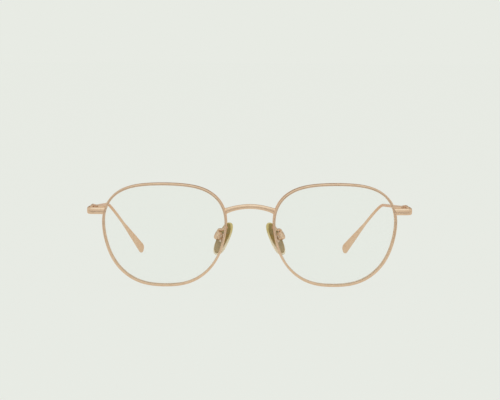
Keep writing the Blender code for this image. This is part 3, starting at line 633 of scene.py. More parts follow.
def spline(points, steps):
    """Smooth curve through points of any size (Catmull-Rom), with `steps` pieces to each span."""
    points = [Vector(point) for point in points]
    padded = [points[0] * 2.0 - points[1], *points, points[-1] * 2.0 - points[-2]]
    curve = []
    for index in range(1, len(padded) - 2):
        a, b, c, d = padded[index - 1 : index + 3]
        for step in range(steps):
            t = step / steps
            linear = (c - a) * t
            square = (a * 2.0 - b * 5.0 + c * 4.0 - d) * t**2
            cube = (b * 3.0 - a - c * 3.0 + d) * t**3
            curve.append((b * 2.0 + linear + square + cube) * 0.5)
    return [*curve, points[-1]]


def directions(points):
    """Direction of travel at each point, from the point before it to the one after it."""
    padded = (points[0], *points, points[-1])
    return [(after - before).normalized() for before, after in zip(padded, padded[2:])]


def distances(points):
    """Distance travelled at each point."""
    travelled = [0.0]
    for near, far in zip(points, points[1:]):
        travelled.append(travelled[-1] + (far - near).length)
    return travelled


# Where the design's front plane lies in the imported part, from its hinge
FRONT_PLANE_Y = JOINTS["temple_left_fold"]["pos_m"][1] / METRE_PER_MM - HINGE_Y


def add_piece(name, hand, mesh, body, slot):
    """Places a +X piece of millimetres on the part, mirrored for the right hand, and lets it ride."""
    node = f"{name}_{hand}" if hand else name
    mirror = Matrix.Diagonal((-1.0 if hand == "right" else 1.0, 1.0, 1.0, 1.0))
    place = Matrix.Scale(METRE_PER_MM, 4) @ Matrix.Translation((0.0, FRONT_PLANE_Y, 0.0)) @ mirror
    bmesh.ops.transform(mesh, matrix=place, verts=mesh.verts)
    bmesh.ops.recalc_face_normals(mesh, faces=mesh.faces)
    made = to_object(f"fine_{node}", mesh)
    made.data.materials.append(LOOKS[slot])
    made.data.shade_smooth()
    made.data.set_sharp_from_angle(angle=SHARP_ANGLE)
    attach(made, body)
    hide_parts(node)


# ---------------- the lens plane


def outline_weights():
    """Cosine series through HALF_OUTLINE."""
    steps = len(HALF_OUTLINE) - 1
    weights = []
    for order in range(steps + 1):
        weight = 0.0
        for index, radius in enumerate(HALF_OUTLINE):
            end = 0.5 if index in (0, steps) else 1.0
            weight += end * radius * math.cos(math.pi * index * order / steps)
        end = 0.5 if order in (0, steps) else 1.0
        weights.append(end * weight * 2.0 / steps)
    return weights


OUTLINE_WEIGHTS = outline_weights()


def outline_radius(angle):
    return sum(weight * math.cos(order * angle) for order, weight in enumerate(OUTLINE_WEIGHTS))


def outline_point(angle, offset=0.0):
    """In-plane point (towards the temple, up) on the outline, moved outwards by `offset`."""
    step = 0.001
    radius = outline_radius(angle)
    slope = (outline_radius(angle + step) - outline_radius(angle - step)) / (2.0 * step)
    outward = Vector((math.sin(angle), -math.cos(angle)))
    forward = Vector((math.cos(angle), math.sin(angle)))
    normal = (outward * radius - forward * slope).normalized()
    return outward * radius + normal * offset


LENS_U = Vector((math.cos(WRAP), math.sin(WRAP), 0.0))
LENS_V = Vector((math.sin(LEAN) * math.sin(WRAP), -math.sin(LEAN) * math.cos(WRAP), math.cos(LEAN)))
LENS_N = Vector((-math.cos(LEAN) * math.sin(WRAP), math.cos(LEAN) * math.cos(WRAP), math.sin(LEAN)))


def sag(u, v):
    return (u * u + v * v) / (2.0 * BASE_CURVE_RADIUS)


def rim_place(angle, offset, depth):
    """Point of the rim from the lens centre: `offset` outwards and `depth` to the rear of its middle."""
    u, v = outline_point(angle, offset)
    base_u, base_v = outline_point(angle)
    return LENS_U * u + LENS_V * v + LENS_N * (sag(base_u, base_v) + depth)


def lens_centre():
    """The lens centre, at the height that stands the lowest point of the rim on the floor."""
    edge = RIM_HALF_DEPTH - RIM_CHAMFER
    angles = [math.radians(half_degree / 2.0) for half_degree in range(-90, 90)]
    lowest = min(rim_place(angle, RIM_HALF_WIDTH, depth).z for angle in angles for depth in (-edge, edge))
    return Vector((LENS_CENTRE_X, 0.0, -lowest))


LENS_CENTRE = lens_centre()


def rim_point(angle, offset, depth):
    return LENS_CENTRE + rim_place(angle, offset, depth)


def rim_side_x(height, low_angle, high_angle, gap):
    """X at a height, `gap` clear of the rim's outer side, searched between two outline angles."""
    for _ in range(40):
        middle = (low_angle + high_angle) / 2.0
        if rim_point(middle, RIM_HALF_WIDTH + gap, 0.0).z < height:
            low_angle = middle
        else:
            high_angle = middle
    return rim_point((low_angle + high_angle) / 2.0, RIM_HALF_WIDTH + gap, 0.0).x


def temple_side_x(height, gap):
    return rim_side_x(height, math.radians(80.0), math.radians(130.0), gap)


def nose_side_x(height, gap):
    return rim_side_x(height, math.radians(-80.0), math.radians(-130.0), gap)


def station_angle(step):
    return SPLIT_ANGLE + math.tau * step / OUTLINE_STATIONS


def braze(distance):
    """How far the braze swells a piece, by the distance from where it meets the rim."""
    share = max(1.0 - distance / BRAZE_LENGTH, 0.0)
    return BRAZE_SPREAD * share**3


# ---------------- front pieces


def rim_section():
    """Channel section as (outwards, to the rear): rounded outside, two rounded lips, a V groove inside."""
    outer = RIM_HALF_WIDTH - RIM_OUTER_ROUND
    outer_depth = RIM_HALF_DEPTH - RIM_OUTER_ROUND
    lip = RIM_LIP_ROUND - RIM_HALF_WIDTH
    lip_depth = RIM_HALF_DEPTH - RIM_LIP_ROUND
    return (
        *arc(outer, -outer_depth, RIM_OUTER_ROUND, -90.0),
        *arc(outer, outer_depth, RIM_OUTER_ROUND, 0.0),
        *arc(lip, lip_depth, RIM_LIP_ROUND, 90.0),
        (-RIM_HALF_WIDTH, GROOVE_HALF_MOUTH),
        (GROOVE_FLOOR, 0.0),
        (-RIM_HALF_WIDTH, -GROOVE_HALF_MOUTH),
        *arc(lip, -lip_depth, RIM_LIP_ROUND, 180.0),
    )


def rim_mesh():
    rings = []
    for step in range(OUTLINE_STATIONS + 1):
        angle = station_angle(step)
        if step == 0:
            angle += SPLIT_HALF_GAP
        if step == OUTLINE_STATIONS:
            angle -= SPLIT_HALF_GAP
        rings.append([rim_point(angle, offset, depth) for offset, depth in rim_section()])
    return skin(rings)


def lens_mesh():
    """Thin curved lens with a V bevel round its edge that sits in the rim's groove."""
    shoulder = RIM_HALF_WIDTH + BRAZE_GAP
    bevel = GROOVE_HALF_MOUTH - BRAZE_GAP
    edge = (
        (shoulder, -LENS_HALF_THICKNESS),
        (shoulder, -bevel),
        (BEVEL_CLEARANCE - GROOVE_FLOOR, 0.0),
        (shoulder, bevel),
        (shoulder, LENS_HALF_THICKNESS),
    )
    angles = [station_angle(step) for step in range(OUTLINE_STATIONS)]
    scales = [circle / LENS_CIRCLES for circle in range(1, LENS_CIRCLES)]

    def surface_ring(scale, depth):
        ring = []
        for angle in angles:
            u, v = outline_point(angle, -shoulder) * scale
            ring.append(LENS_CENTRE + LENS_U * u + LENS_V * v + LENS_N * (sag(u, v) + depth))
        return ring

    rings = [surface_ring(scale, -LENS_HALF_THICKNESS) for scale in scales]
    rings += [[rim_point(angle, -inward, depth) for angle in angles] for inward, depth in edge]
    rings += [surface_ring(scale, LENS_HALF_THICKNESS) for scale in reversed(scales)]
    mesh = bmesh.new()
    rows = [[mesh.verts.new(point) for point in ring] for ring in rings]
    join_rows(mesh, rows)
    for row, depth in ((rows[0], -LENS_HALF_THICKNESS), (rows[-1], LENS_HALF_THICKNESS)):
        middle = mesh.verts.new(LENS_CENTRE + LENS_N * depth)
        for near, after in zip(row, (*row[1:], row[0])):
            mesh.faces.new((near, after, middle))
    bmesh.ops.recalc_face_normals(mesh, faces=mesh.faces)
    return mesh


def bridge_mesh():
    """Arched bar whose ends flare and run into the outer sides of both rims, with a small braze fillet."""
    half_span = nose_side_x(BRIDGE_TOP_Z - BRIDGE_ARCH * BRIDGE_ROOT_X**2, -BRAZE_DEPTH)
    rings = []
    for step in range(BRIDGE_STATIONS + 1):
        share = math.sin(math.pi / 2.0 * (2.0 * step / BRIDGE_STATIONS - 1.0))
        x = half_span * share
        centre = Vector((x, BRIDGE_BOW * (share * share - 1.0), BRIDGE_TOP_Z - BRIDGE_ARCH * x * x))
        along = Vector((1.0, 2.0 * BRIDGE_BOW * share / half_span, -2.0 * BRIDGE_ARCH * x)).normalized()
        up = along.cross(BACK).normalized()
        swell = braze(half_span - abs(x))
        half_height = BRIDGE_HALF_HEIGHT + BRIDGE_END_FLARE * abs(share) ** 6 + swell
        section = superellipse(half_height, BRIDGE_HALF_DEPTH + swell, BAR_POWER, WIRE_STEPS)
        ring = place_section(centre, up, up.cross(along), section)
        if step in (0, BRIDGE_STATIONS):
            end = math.copysign(1.0, share)
            ring = [Vector((end * nose_side_x(point.z, -BRAZE_DEPTH), point.y, point.z)) for point in ring]
        rings.append(ring)
    return skin(rings)


def end_piece_mesh():
    """Bar that leaves the rim sideways, turns a rounded corner and runs back to the hinge."""
    run_x = END_PIECE_OUTER_X - END_PIECE_HALF_DEPTH
    front_y = BLOCK_FRONT_Y - BRAZE_GAP - END_PIECE_HALF_DEPTH
    route = (
        (61.2, front_y, 0.0, 1.0),
        (64.0, front_y, 0.0, 1.0),
        (65.9, front_y + 0.02, 0.0, 1.0),
        (66.75, front_y + 0.25, 0.02, 1.0),
        (run_x - 0.12, front_y + 0.85, 0.08, 1.0),
        (run_x - 0.05, front_y + 1.65, 0.2, 0.98),
        (run_x - 0.45, front_y + 2.5, 0.45, 0.95),
        (TEMPLE_FRONT.x + 0.25, front_y + 3.2, 0.7, 0.93),
        (TEMPLE_FRONT.x, front_y + 3.9, 0.9, 0.9),
        (TEMPLE_FRONT.x, JOINT_PLANE_Y, 1.0, END_PIECE_END_SIZE),
    )
    curve = spline(route, 6)
    headings = directions([Vector((x, y, 0.0)) for x, y, _, _ in curve])
    headings[-1] = BACK
    rings = []
    for index, (x, y, rise, size) in enumerate(curve):
        across = Vector((-headings[index].y, headings[index].x, 0.0))
        power = BAR_POWER + (TEMPLE_BLOCK_POWER - BAR_POWER) * (index / (len(curve) - 1))
        swell = braze(x - route[0][0]) if y < front_y + 0.2 else 0.0
        half_height = END_PIECE_HALF_HEIGHT * size + swell
        section = superellipse(half_height, END_PIECE_HALF_DEPTH * size + swell, power, WIRE_STEPS)
        ring = place_section(Vector((x, y, END_PIECE_Z + rise)), UP, across, section)
        if index == 0:
            ring = [Vector((temple_side_x(point.z, -BRAZE_DEPTH), point.y, point.z)) for point in ring]
        rings.append(ring)
    return skin(soften_end(rings, BACK, JOINT_EDGE_ROUND))


def block_mesh(base, top):
    """Closing block: its inner side runs into the rim, its other sides are flat with rounded edges."""
    corners = (
        (temple_side_x(base, -BRAZE_DEPTH), base),
        (BLOCK_OUTER_X, base),
        (BLOCK_OUTER_X, top),
        (temple_side_x(top, -BRAZE_DEPTH), top),
    )
    outline = [Vector((x, BLOCK_FRONT_Y - BRAZE_GAP, z)) for x, z in corners]
    return prism(outline, BACK * (BLOCK_REAR_Y - BLOCK_FRONT_Y + BRAZE_GAP), EDGE_ROUND)


def rim_screw_hole(radius, start, end):
    return round_bar(Vector((RIM_SCREW_X, RIM_SCREW_Y, 0.0)), UP, radius, start, end)


def upper_block_mesh():
    solid = block_mesh(END_PIECE_Z + BLOCK_SPLIT / 2.0, UPPER_BLOCK_TOP)
    hole = rim_screw_hole(RIM_SCREW_RADIUS + RUNNING_GAP, LOWER_BLOCK_BASE, UPPER_BLOCK_TOP + CUT_BEYOND)
    return combine(solid, [hole], "DIFFERENCE")


def lower_block_mesh():
    solid = block_mesh(LOWER_BLOCK_BASE, END_PIECE_Z - BLOCK_SPLIT / 2.0)
    start = LOWER_BLOCK_BASE - CUT_BEYOND
    hole = rim_screw_hole(RIM_SCREW_RADIUS + RUNNING_GAP, start, UPPER_BLOCK_TOP)
    seat_top = LOWER_BLOCK_BASE + RIM_SCREW_HEAD_HEIGHT + RUNNING_GAP
    seat = rim_screw_hole(RIM_SCREW_HEAD_RADIUS + RUNNING_GAP, start, seat_top)
    return combine(solid, [hole, seat], "DIFFERENCE")


def screw_mesh(centre, axis, shank_radius, length, head_radius, head_height, across):
    """Slotted screw with a domed head: the head's outer face is at `centre`, the shank runs along `axis`."""
    axis = axis.normalized()
    profile = [
        (0.02, 0.0),
        (0.35 * head_radius, 0.01 * head_height),
        (0.65 * head_radius, 0.1 * head_height),
        (0.85 * head_radius, 0.28 * head_height),
        (head_radius - 0.02, 0.56 * head_height),
        (head_radius, 0.72 * head_height),
        (head_radius - 0.03, head_height - 0.01),
        (head_radius - 0.05, head_height),
        (shank_radius, head_height),
        (shank_radius, length - SCREW_POINT_CHAMFER),
        (shank_radius - SCREW_POINT_CHAMFER, length),
    ]
    solid = lathe(centre, axis, profile)
    side = axis.cross(across)
    place = Matrix((across, side, axis)).transposed().to_4x4()
    place.translation = centre
    depth = head_height * 0.5
    low = Vector((-head_radius * 1.5, -SCREW_SLOT_WIDTH / 2.0, -depth))
    high = Vector((head_radius * 1.5, SCREW_SLOT_WIDTH / 2.0, depth))
    return combine(solid, [framed_box(place, low, high)], "DIFFERENCE")


def rim_screw_mesh():
    return screw_mesh(
        Vector((RIM_SCREW_X, RIM_SCREW_Y, LOWER_BLOCK_BASE)),
        UP,
        RIM_SCREW_RADIUS,
        UPPER_BLOCK_TOP - LOWER_BLOCK_BASE,
        RIM_SCREW_HEAD_RADIUS,
        RIM_SCREW_HEAD_HEIGHT,
        SIDEWAYS,
    )


# ---------------- hinge


MIDDLE_LOW_Z = HINGE_LOW_Z + OUTER_KNUCKLE_HEIGHT + KNUCKLE_GAP
MIDDLE_HIGH_Z = MIDDLE_LOW_Z + MIDDLE_KNUCKLE_HEIGHT
UPPER_LOW_Z = MIDDLE_HIGH_Z + KNUCKLE_GAP
HINGE_HIGH_Z = UPPER_LOW_Z + OUTER_KNUCKLE_HEIGHT


def hinge_round(radius, low, high, fillet=0.0):
    return round_bar(Vector((HINGE_X, HINGE_Y, 0.0)), UP, radius, low, high, fillet)


def hinge_bore():
    radius = HINGE_SCREW_RADIUS + RUNNING_GAP
    return hinge_round(radius, HINGE_LOW_Z - CUT_BEYOND, HINGE_HIGH_Z + CUT_BEYOND)


def hinge_front_mesh():
    """Leaf on the end piece's inner side, with an upper and a lower knuckle on short webs."""
    leaf = box(
        Vector((LEAF_INNER_X, HINGE_Y - LEAF_FRONT_REACH, HINGE_LOW_Z + LEAF_MARGIN)),
        Vector((LEAF_OUTER_X + BRAZE_GAP, JOINT_PLANE_Y - JOINT_CLEARANCE, HINGE_HIGH_Z - LEAF_MARGIN)),
        EDGE_ROUND,
    )
    parts = []
    for low, high in ((HINGE_LOW_Z, HINGE_LOW_Z + OUTER_KNUCKLE_HEIGHT), (UPPER_LOW_Z, HINGE_HIGH_Z)):
        web = box(
            Vector((HINGE_X, HINGE_Y - KNUCKLE_RADIUS + RUNNING_GAP, low + WEB_MARGIN)),
            Vector((LEAF_INNER_X + LEAF_MARGIN, HINGE_Y + WEB_REACH, high - WEB_MARGIN)),
        )
        parts += [web, hinge_round(KNUCKLE_RADIUS, low, high, EDGE_ROUND)]
    return combine(combine(leaf, parts, "UNION"), [hinge_bore()], "DIFFERENCE")


def hinge_temple_mesh():
    """Leaf on the temple's inner side, with one knuckle on an arm that fits between the front knuckles."""
    leaf = box(
        Vector((LEAF_INNER_X, HINGE_Y + TEMPLE_LEAF_START, HINGE_LOW_Z + 2.0 * LEAF_MARGIN)),
        Vector((LEAF_OUTER_X + BRAZE_GAP, HINGE_Y + TEMPLE_LEAF_END, HINGE_HIGH_Z - LEAF_MARGIN)),
        EDGE_ROUND,
    )
    inner_side = ((0.9, 2.5), (0.0, 1.3), (-0.6, 0.55))
    outer_side = ((0.5, 0.3), (0.84, 0.55), (0.93, 1.12), (1.1, 1.2), (1.1, 2.5))
    arm_base = Vector((HINGE_X, HINGE_Y, MIDDLE_LOW_Z + RUNNING_GAP))
    points = [arm_base + Vector((x, y, 0.0)) for x, y in (*outer_side, *inner_side)]
    arm = prism(points, UP * (MIDDLE_KNUCKLE_HEIGHT - 2.0 * RUNNING_GAP))
    knuckle = hinge_round(KNUCKLE_RADIUS, MIDDLE_LOW_Z, MIDDLE_HIGH_Z, EDGE_ROUND)
    return combine(combine(leaf, [arm, knuckle], "UNION"), [hinge_bore()], "DIFFERENCE")


def hinge_screw_mesh():
    top = Vector((HINGE_X, HINGE_Y, HINGE_HIGH_Z + RUNNING_GAP + HINGE_HEAD_HEIGHT))
    return screw_mesh(
        top,
        -UP,
        HINGE_SCREW_RADIUS,
        top.z - HINGE_LOW_Z - RUNNING_GAP,
        HINGE_HEAD_RADIUS,
        HINGE_HEAD_HEIGHT,
        SIDEWAYS,
    )


def washer_mesh(gap_low_z):
    low = gap_low_z + (KNUCKLE_GAP - WASHER_THICKNESS) / 2.0
    disc = hinge_round(KNUCKLE_RADIUS - WASHER_INSET, low, low + WASHER_THICKNESS, WASHER_EDGE_ROUND)
    return combine(disc, [hinge_bore()], "DIFFERENCE")


# ---------------- temple


def temple_route():
    """Points down the middle of the wire from where it is round to its tip, with the bend as an arc."""
    into = (TEMPLE_WIRE_START - TEMPLE_BEND).normalized()
    out = (TEMPLE_TIP - TEMPLE_BEND).normalized()
    half = into.angle(out) / 2.0
    tangent = TEMPLE_BEND_RADIUS / math.tan(half)
    centre = TEMPLE_BEND + (into + out).normalized() * (TEMPLE_BEND_RADIUS / math.sin(half))
    start = TEMPLE_BEND + into * tangent
    end = TEMPLE_BEND + out * tangent
    points = [TEMPLE_WIRE_START.lerp(start, step / TEMPLE_RUN_STEPS) for step in range(TEMPLE_RUN_STEPS + 1)]
    sweep = math.pi - 2.0 * half
    for step in range(1, TEMPLE_BEND_STEPS + 1):
        angle = sweep * step / TEMPLE_BEND_STEPS
        weight_start = math.sin(sweep - angle) / math.sin(sweep)
        weight_end = math.sin(angle) / math.sin(sweep)
        points.append(centre + (start - centre) * weight_start + (end - centre) * weight_end)
    length = (TEMPLE_TIP - end).length
    round_start = length - TIP_HALF_WIDTH
    reaches = [round_start * step / TIP_RUN_STEPS for step in range(1, TIP_RUN_STEPS + 1)]
    for step in range(1, TIP_ROUND_STEPS + 1):
        turn = math.pi / 2.0 * step / TIP_ROUND_STEPS
        reaches.append(round_start + TIP_HALF_WIDTH * math.sin(turn))
    return points + [end.lerp(TEMPLE_TIP, reach / length) for reach in reaches]


def tip_section(remaining):
    """Half width, half thickness and roundness of the flat tip, by the distance left to its end."""
    share = min(max(1.0 - remaining / TIP_LENGTH, 0.0), 1.0)
    width = TEMPLE_WIRE_RADIUS + (TIP_HALF_WIDTH - TEMPLE_WIRE_RADIUS) * share
    flat = min(share / TIP_FLAT_SHARE, 1.0)
    thickness = TEMPLE_WIRE_RADIUS + (TIP_HALF_THICKNESS - TEMPLE_WIRE_RADIUS) * flat
    if remaining < TIP_HALF_WIDTH:
        round_share = 1.0 - remaining / TIP_HALF_WIDTH
        width *= max(math.sqrt(1.0 - round_share * round_share), 0.1)
    if remaining < TIP_HALF_THICKNESS:
        edge_share = 1.0 - remaining / TIP_HALF_THICKNESS
        thickness *= max(math.sqrt(1.0 - edge_share * edge_share), 0.35)
    return width, thickness, ELLIPSE_POWER + (TIP_POWER - ELLIPSE_POWER) * flat


def temple_mesh():
    """Front block, round wire and flat tip in one piece."""
    route = temple_route()
    block_half_depth = END_PIECE_HALF_DEPTH * END_PIECE_END_SIZE
    block = superellipse(TEMPLE_BLOCK_HALF_HEIGHT, block_half_depth, TEMPLE_BLOCK_POWER, WIRE_STEPS)
    rings = []
    for share in (1.0, 0.66, 0.33, 0.0):
        centre = TEMPLE_FRONT.lerp(TEMPLE_BLOCK_END, share)
        rings.append(place_section(centre, UP, BACK.cross(UP), block))
    rings = soften_end(rings, -BACK, JOINT_EDGE_ROUND)
    rings.reverse()
    for step in range(1, TEMPLE_BLEND_STEPS):
        share = step / TEMPLE_BLEND_STEPS
        blend = share * share * (3.0 - 2.0 * share)
        centre = TEMPLE_BLOCK_END.lerp(TEMPLE_WIRE_START, share)
        centre.x = TEMPLE_BLOCK_END.x + (TEMPLE_WIRE_START.x - TEMPLE_BLOCK_END.x) * blend
        height = TEMPLE_BLOCK_HALF_HEIGHT + (TEMPLE_WIRE_RADIUS - TEMPLE_BLOCK_HALF_HEIGHT) * blend
        depth = block_half_depth + (TEMPLE_WIRE_RADIUS - block_half_depth) * blend
        power = TEMPLE_BLOCK_POWER - (TEMPLE_BLOCK_POWER - ELLIPSE_POWER) * blend
        section = superellipse(height, depth, power, WIRE_STEPS)
        rings.append(place_section(centre, UP, BACK.cross(UP), section))
    travelled = distances(route)
    for point, along, distance in zip(route, directions(route), travelled):
        tall = (UP - along * UP.dot(along)).normalized()
        width, thickness, power = tip_section(travelled[-1] - distance)
        section = superellipse(width, thickness, power, WIRE_STEPS)
        rings.append(place_section(point, tall, along.cross(tall), section))
    return skin(rings)


# ---------------- nose pads


def pad_axes():
    """The screw axis (front to rear), the pad's long axis (up) and the way its face looks (to the nose)."""
    screw = Vector((math.sin(PAD_SPLAY), math.cos(PAD_SPLAY), 0.0))
    lean_x = -math.tan(PAD_FRONTAL_TILT)
    lean_y = -lean_x * math.tan(PAD_SPLAY)
    long = Vector((lean_x, lean_y, 1.0)).normalized()
    face = long.cross(screw)
    if face.x > 0.0:
        face.negate()
    return screw, long, face


PAD_SCREW_AXIS, PAD_LONG_AXIS, PAD_FACE_AXIS = pad_axes()
PAD_PIVOT = PAD_CENTRE - PAD_FACE_AXIS * (PAD_BACK + PAD_THICKNESS / 2.0)


def pad_frame():
    """Matrix from screw-axis, long-axis and face distances to design positions."""
    place = Matrix((PAD_SCREW_AXIS, PAD_LONG_AXIS, PAD_FACE_AXIS)).transposed().to_4x4()
    place.translation = PAD_PIVOT
    return place


def pad_place(across, along, out):
    return pad_frame() @ Vector((across, along, out))


def pad_screw_bore(reach):
    return round_bar(PAD_PIVOT, PAD_SCREW_AXIS, PAD_SCREW_RADIUS + RUNNING_GAP, -reach, reach)


def pad_outline(scale, out):
    """Rounded ring of the pad: a little narrower at its upper end."""
    ring = []
    for across, along in superellipse(PAD_HALF_WIDTH, PAD_HALF_LENGTH, PAD_POWER, PAD_OUTLINE_STEPS):
        narrow = 1.0 - PAD_NARROWING * along / PAD_HALF_LENGTH
        ring.append(pad_place(across * narrow * scale, along * scale, out))
    return ring


def nose_pad_mesh():
    """Soft pad, thin at its edge, with a shallow pocket for the metal core in its outer side."""
    front = PAD_BACK + PAD_THICKNESS
    profile = (
        (0.3, PAD_BACK),
        (0.62, PAD_BACK + 0.06),
        (0.9, PAD_BACK + 0.26),
        (0.985, PAD_BACK + 0.5),
        (1.0, PAD_BACK + 0.8),
        (0.96, PAD_BACK + 1.12),
        (0.84, PAD_BACK + 1.42),
        (0.6, front - 0.18),
        (0.3, front - 0.03),
        (0.06, front),
    )
    body = skin([pad_outline(scale, out) for scale, out in spline(profile, 4)])
    half_width, half_length = CORE_HALF_WIDTH + CORE_CLEARANCE, CORE_HALF_LENGTH + CORE_CLEARANCE
    mouth = superellipse(half_width, half_length, CORE_POWER, ROUND_STEPS)
    levels = (PAD_BACK - CUT_BEYOND, PAD_BACK + POCKET_DEPTH)
    pocket = skin([[pad_place(across, along, out) for across, along in mouth] for out in levels])
    return combine(body, [pocket], "DIFFERENCE")


def pad_core_mesh():
    """Metal plate in the pad's pocket, with a drilled lug that turns on the pad screw."""
    ring = superellipse(CORE_HALF_WIDTH, CORE_HALF_LENGTH, CORE_POWER, ROUND_STEPS)
    levels = (PAD_BACK + POCKET_DEPTH - CORE_CLEARANCE, PAD_BACK)
    rings = [[pad_place(across, along, out) for across, along in ring] for out in levels]
    plate = skin(soften_end(rings, -PAD_FACE_AXIS, EDGE_ROUND))
    half_lug = CLEVIS_SLOT_HALF - LUG_CLEARANCE
    eye = round_bar(PAD_PIVOT, PAD_SCREW_AXIS, LUG_RADIUS, -half_lug, half_lug, EDGE_ROUND)
    neck = framed_box(
        pad_frame(),
        Vector((-half_lug, -LUG_NECK_HALF_LENGTH, 0.0)),
        Vector((half_lug, LUG_NECK_HALF_LENGTH, PAD_BACK + POCKET_DEPTH / 2.0)),
        EDGE_ROUND,
    )
    return combine(combine(plate, [neck, eye], "UNION"), [pad_screw_bore(2.0 * half_lug)], "DIFFERENCE")


def pad_box_mesh():
    """Rounded clevis that holds the pad's lug: a thick back and two drilled ears."""
    middle = (CLEVIS_EAR_END - CLEVIS_BACK) / 2.0
    half_height = (CLEVIS_EAR_END + CLEVIS_BACK) / 2.0
    levels = arc(CLEVIS_END_ROUND - CLEVIS_HALF_WIDTH, CLEVIS_END_ROUND, CLEVIS_END_ROUND, 180.0)
    levels += [(-across, inset) for across, inset in reversed(levels)]
    rings = []
    for across, inset in levels:
        outline = superellipse(CLEVIS_HALF_LENGTH - inset, half_height - inset, CLEVIS_POWER, ROUND_STEPS)
        rings.append([pad_place(across, along, middle + out) for along, out in outline])
    solid = skin(rings)
    slot = framed_box(
        pad_frame(),
        Vector((-CLEVIS_SLOT_HALF, -2.0 * CLEVIS_HALF_LENGTH, -CLEVIS_SLOT_FLOOR)),
        Vector((CLEVIS_SLOT_HALF, 2.0 * CLEVIS_HALF_LENGTH, 2.0 * CLEVIS_EAR_END)),
    )
    return combine(solid, [slot, pad_screw_bore(2.0 * CLEVIS_HALF_WIDTH)], "DIFFERENCE")


def pad_screw_mesh():
    head_start = CLEVIS_HALF_WIDTH + RUNNING_GAP + PAD_SCREW_HEAD_HEIGHT
    return screw_mesh(
        PAD_PIVOT - PAD_SCREW_AXIS * head_start,
        PAD_SCREW_AXIS,
        PAD_SCREW_RADIUS,
        head_start + CLEVIS_HALF_WIDTH,
        PAD_SCREW_HEAD_RADIUS,
        PAD_SCREW_HEAD_HEIGHT,
        PAD_LONG_AXIS,
    )


def pad_arm_mesh():
    """Bent wire from the rear of the rim, back and down into the clevis, brazed at both ends."""
    start = rim_point(PAD_ARM_ANGLE, 0.0, RIM_HALF_DEPTH + BRAZE_GAP)
    wall_middle = -(CLEVIS_SLOT_FLOOR + CLEVIS_BACK) / 2.0
    top = CLEVIS_HALF_LENGTH + BRAZE_GAP
    points = [
        start - LENS_N * (BRAZE_GAP + BRAZE_DEPTH),
        start,
        start + LENS_N * 1.4,
        start + Vector((0.5, 2.4, -0.2)),
        start + Vector((1.4, 3.1, -1.2)),
        pad_place(0.0, top + 0.55, wall_middle),
        pad_place(0.0, top - PAD_ARM_SOCKET, wall_middle + PAD_ARM_SOCKET_LEAN),
    ]
    curve = spline(points, 8)
    travelled = distances(curve)
    mouth = travelled[-1] - PAD_ARM_SOCKET
    rings = []
    side = SIDEWAYS
    for point, along, distance in zip(curve, directions(curve), travelled):
        side = (side - along * side.dot(along)).normalized()
        radius = PAD_ARM_RADIUS + braze(min(distance, abs(mouth - distance)))
        section = superellipse(radius, radius, ELLIPSE_POWER, PAD_ARM_STEPS)
        rings.append(place_section(point, side, along.cross(side), section))
    return skin(rings)


# ---------------- assembly


def build_side(hand):
    """All pieces of one side. `hand` is the wearer's side."""
    pieces = (
        ("rim", rim_mesh(), "front", "frame_metal"),
        ("lens", lens_mesh(), "front", "lens_plastic"),
        ("end_piece", end_piece_mesh(), "front", "frame_metal"),
        ("closing_block_upper", upper_block_mesh(), "front", "frame_metal"),
        ("closing_block_lower", lower_block_mesh(), "front", "frame_metal"),
        ("rim_screw", rim_screw_mesh(), "front", "screw_metal"),
        ("hinge_front", hinge_front_mesh(), "front", "frame_metal"),
        ("hinge_screw", hinge_screw_mesh(), "front", "screw_metal"),
        ("hinge_washer_lower", washer_mesh(MIDDLE_LOW_Z - KNUCKLE_GAP), "front", "washer_plastic"),
        ("hinge_washer_upper", washer_mesh(MIDDLE_HIGH_Z), "front", "washer_plastic"),
        ("pad_arm", pad_arm_mesh(), "front", "frame_metal"),
        ("pad_box", pad_box_mesh(), "front", "frame_metal"),
        ("pad_screw", pad_screw_mesh(), "front", "screw_metal"),
        ("temple", temple_mesh(), f"temple_{hand}_body", "frame_metal"),
        ("hinge_temple", hinge_temple_mesh(), f"temple_{hand}_body", "frame_metal"),
        ("pad_core", pad_core_mesh(), f"pad_{hand}_body", "screw_metal"),
        ("nose_pad", nose_pad_mesh(), f"pad_{hand}_body", "pad_plastic"),
    )
    lofted = ("rim", "end_piece", "pad_arm", "temple")
    for name, mesh, body, slot in pieces:
        if name not in lofted:
            add_grain(mesh, pad_frame() if name == "nose_pad" else None)
        add_piece(name, hand, mesh, body, slot)


add_piece("bridge", "", bridge_mesh(), "front", "frame_metal")
for wearer_side in ("left", "right"):
    build_side(wearer_side)


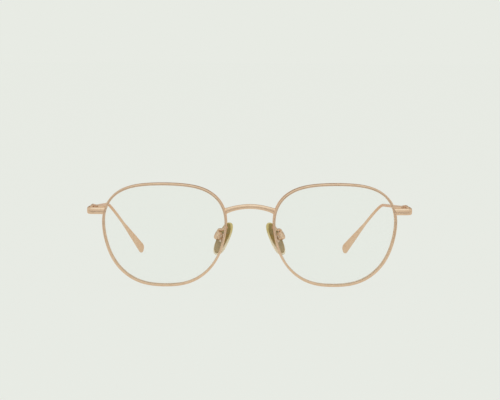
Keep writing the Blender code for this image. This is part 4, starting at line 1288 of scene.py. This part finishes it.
# ---------------- studio


def make_world():
    world = bpy.data.worlds.new("studio_air")
    world.use_nodes = True
    world.node_tree.nodes["Background"].inputs["Color"].default_value = (*BACKGROUND, 1.0)
    bpy.context.scene.world = world


def add_glow(tree, colour):
    return add_node(tree, "Emission", "Emission", {"Color": (*colour, 1.0)})


def make_floor():
    """Pale floor that glows like a light table, so that it shows only the faintest shadow."""
    bpy.ops.mesh.primitive_circle_add(vertices=96, radius=FLOOR_RADIUS, fill_type="NGON")
    floor = bpy.context.object
    floor.name = "studio_floor"
    material, tree, shader = start_material("studio_floor_pale")
    values = {"Base Color": (0.9, 0.9, 0.9, 1.0), "Roughness": 1.0, "Specular IOR Level": 0.0}
    set_inputs(tree, shader, values)
    mix_surfaces(tree, FLOOR_GLOW_SHARE, shader.outputs["BSDF"], add_glow(tree, BACKGROUND))
    floor.data.materials.append(material)


def make_card(name, place, size, tilt_degrees, brightness):
    """Flat card that shows only in reflections, as a studio reflector or flag."""
    tilt = (math.radians(tilt_degrees), 0.0, 0.0)
    bpy.ops.mesh.primitive_plane_add(size=1.0, location=place, rotation=tilt)
    card = bpy.context.object
    card.name = name
    card.scale = (*size, 1.0)
    material, tree, _ = start_material(name)
    glow = add_glow(tree, [brightness * tint for tint in CARD_TINT])
    tree.links.new(glow, tree.nodes["Material Output"].inputs["Surface"])
    card.data.materials.append(material)
    card.visible_camera = False
    card.visible_diffuse = False
    card.visible_shadow = False
    card.visible_transmission = False


def make_lamp():
    data = bpy.data.lights.new("overhead_softbox", "AREA")
    data.shape = "RECTANGLE"
    data.size, data.size_y = LAMP_SIZE
    data.energy = LAMP_ENERGY
    data.color = LAMP_COLOUR
    lamp = bpy.data.objects.new("overhead_softbox", data)
    lamp.location = LAMP_PLACE
    lamp.rotation_euler = (LAMP_TILT, 0.0, 0.0)
    bpy.context.scene.collection.objects.link(lamp)


make_world()
make_floor()
for card_values in CARDS:
    make_card(*card_values)
make_lamp()
bpy.context.scene.view_settings.view_transform = "Standard"
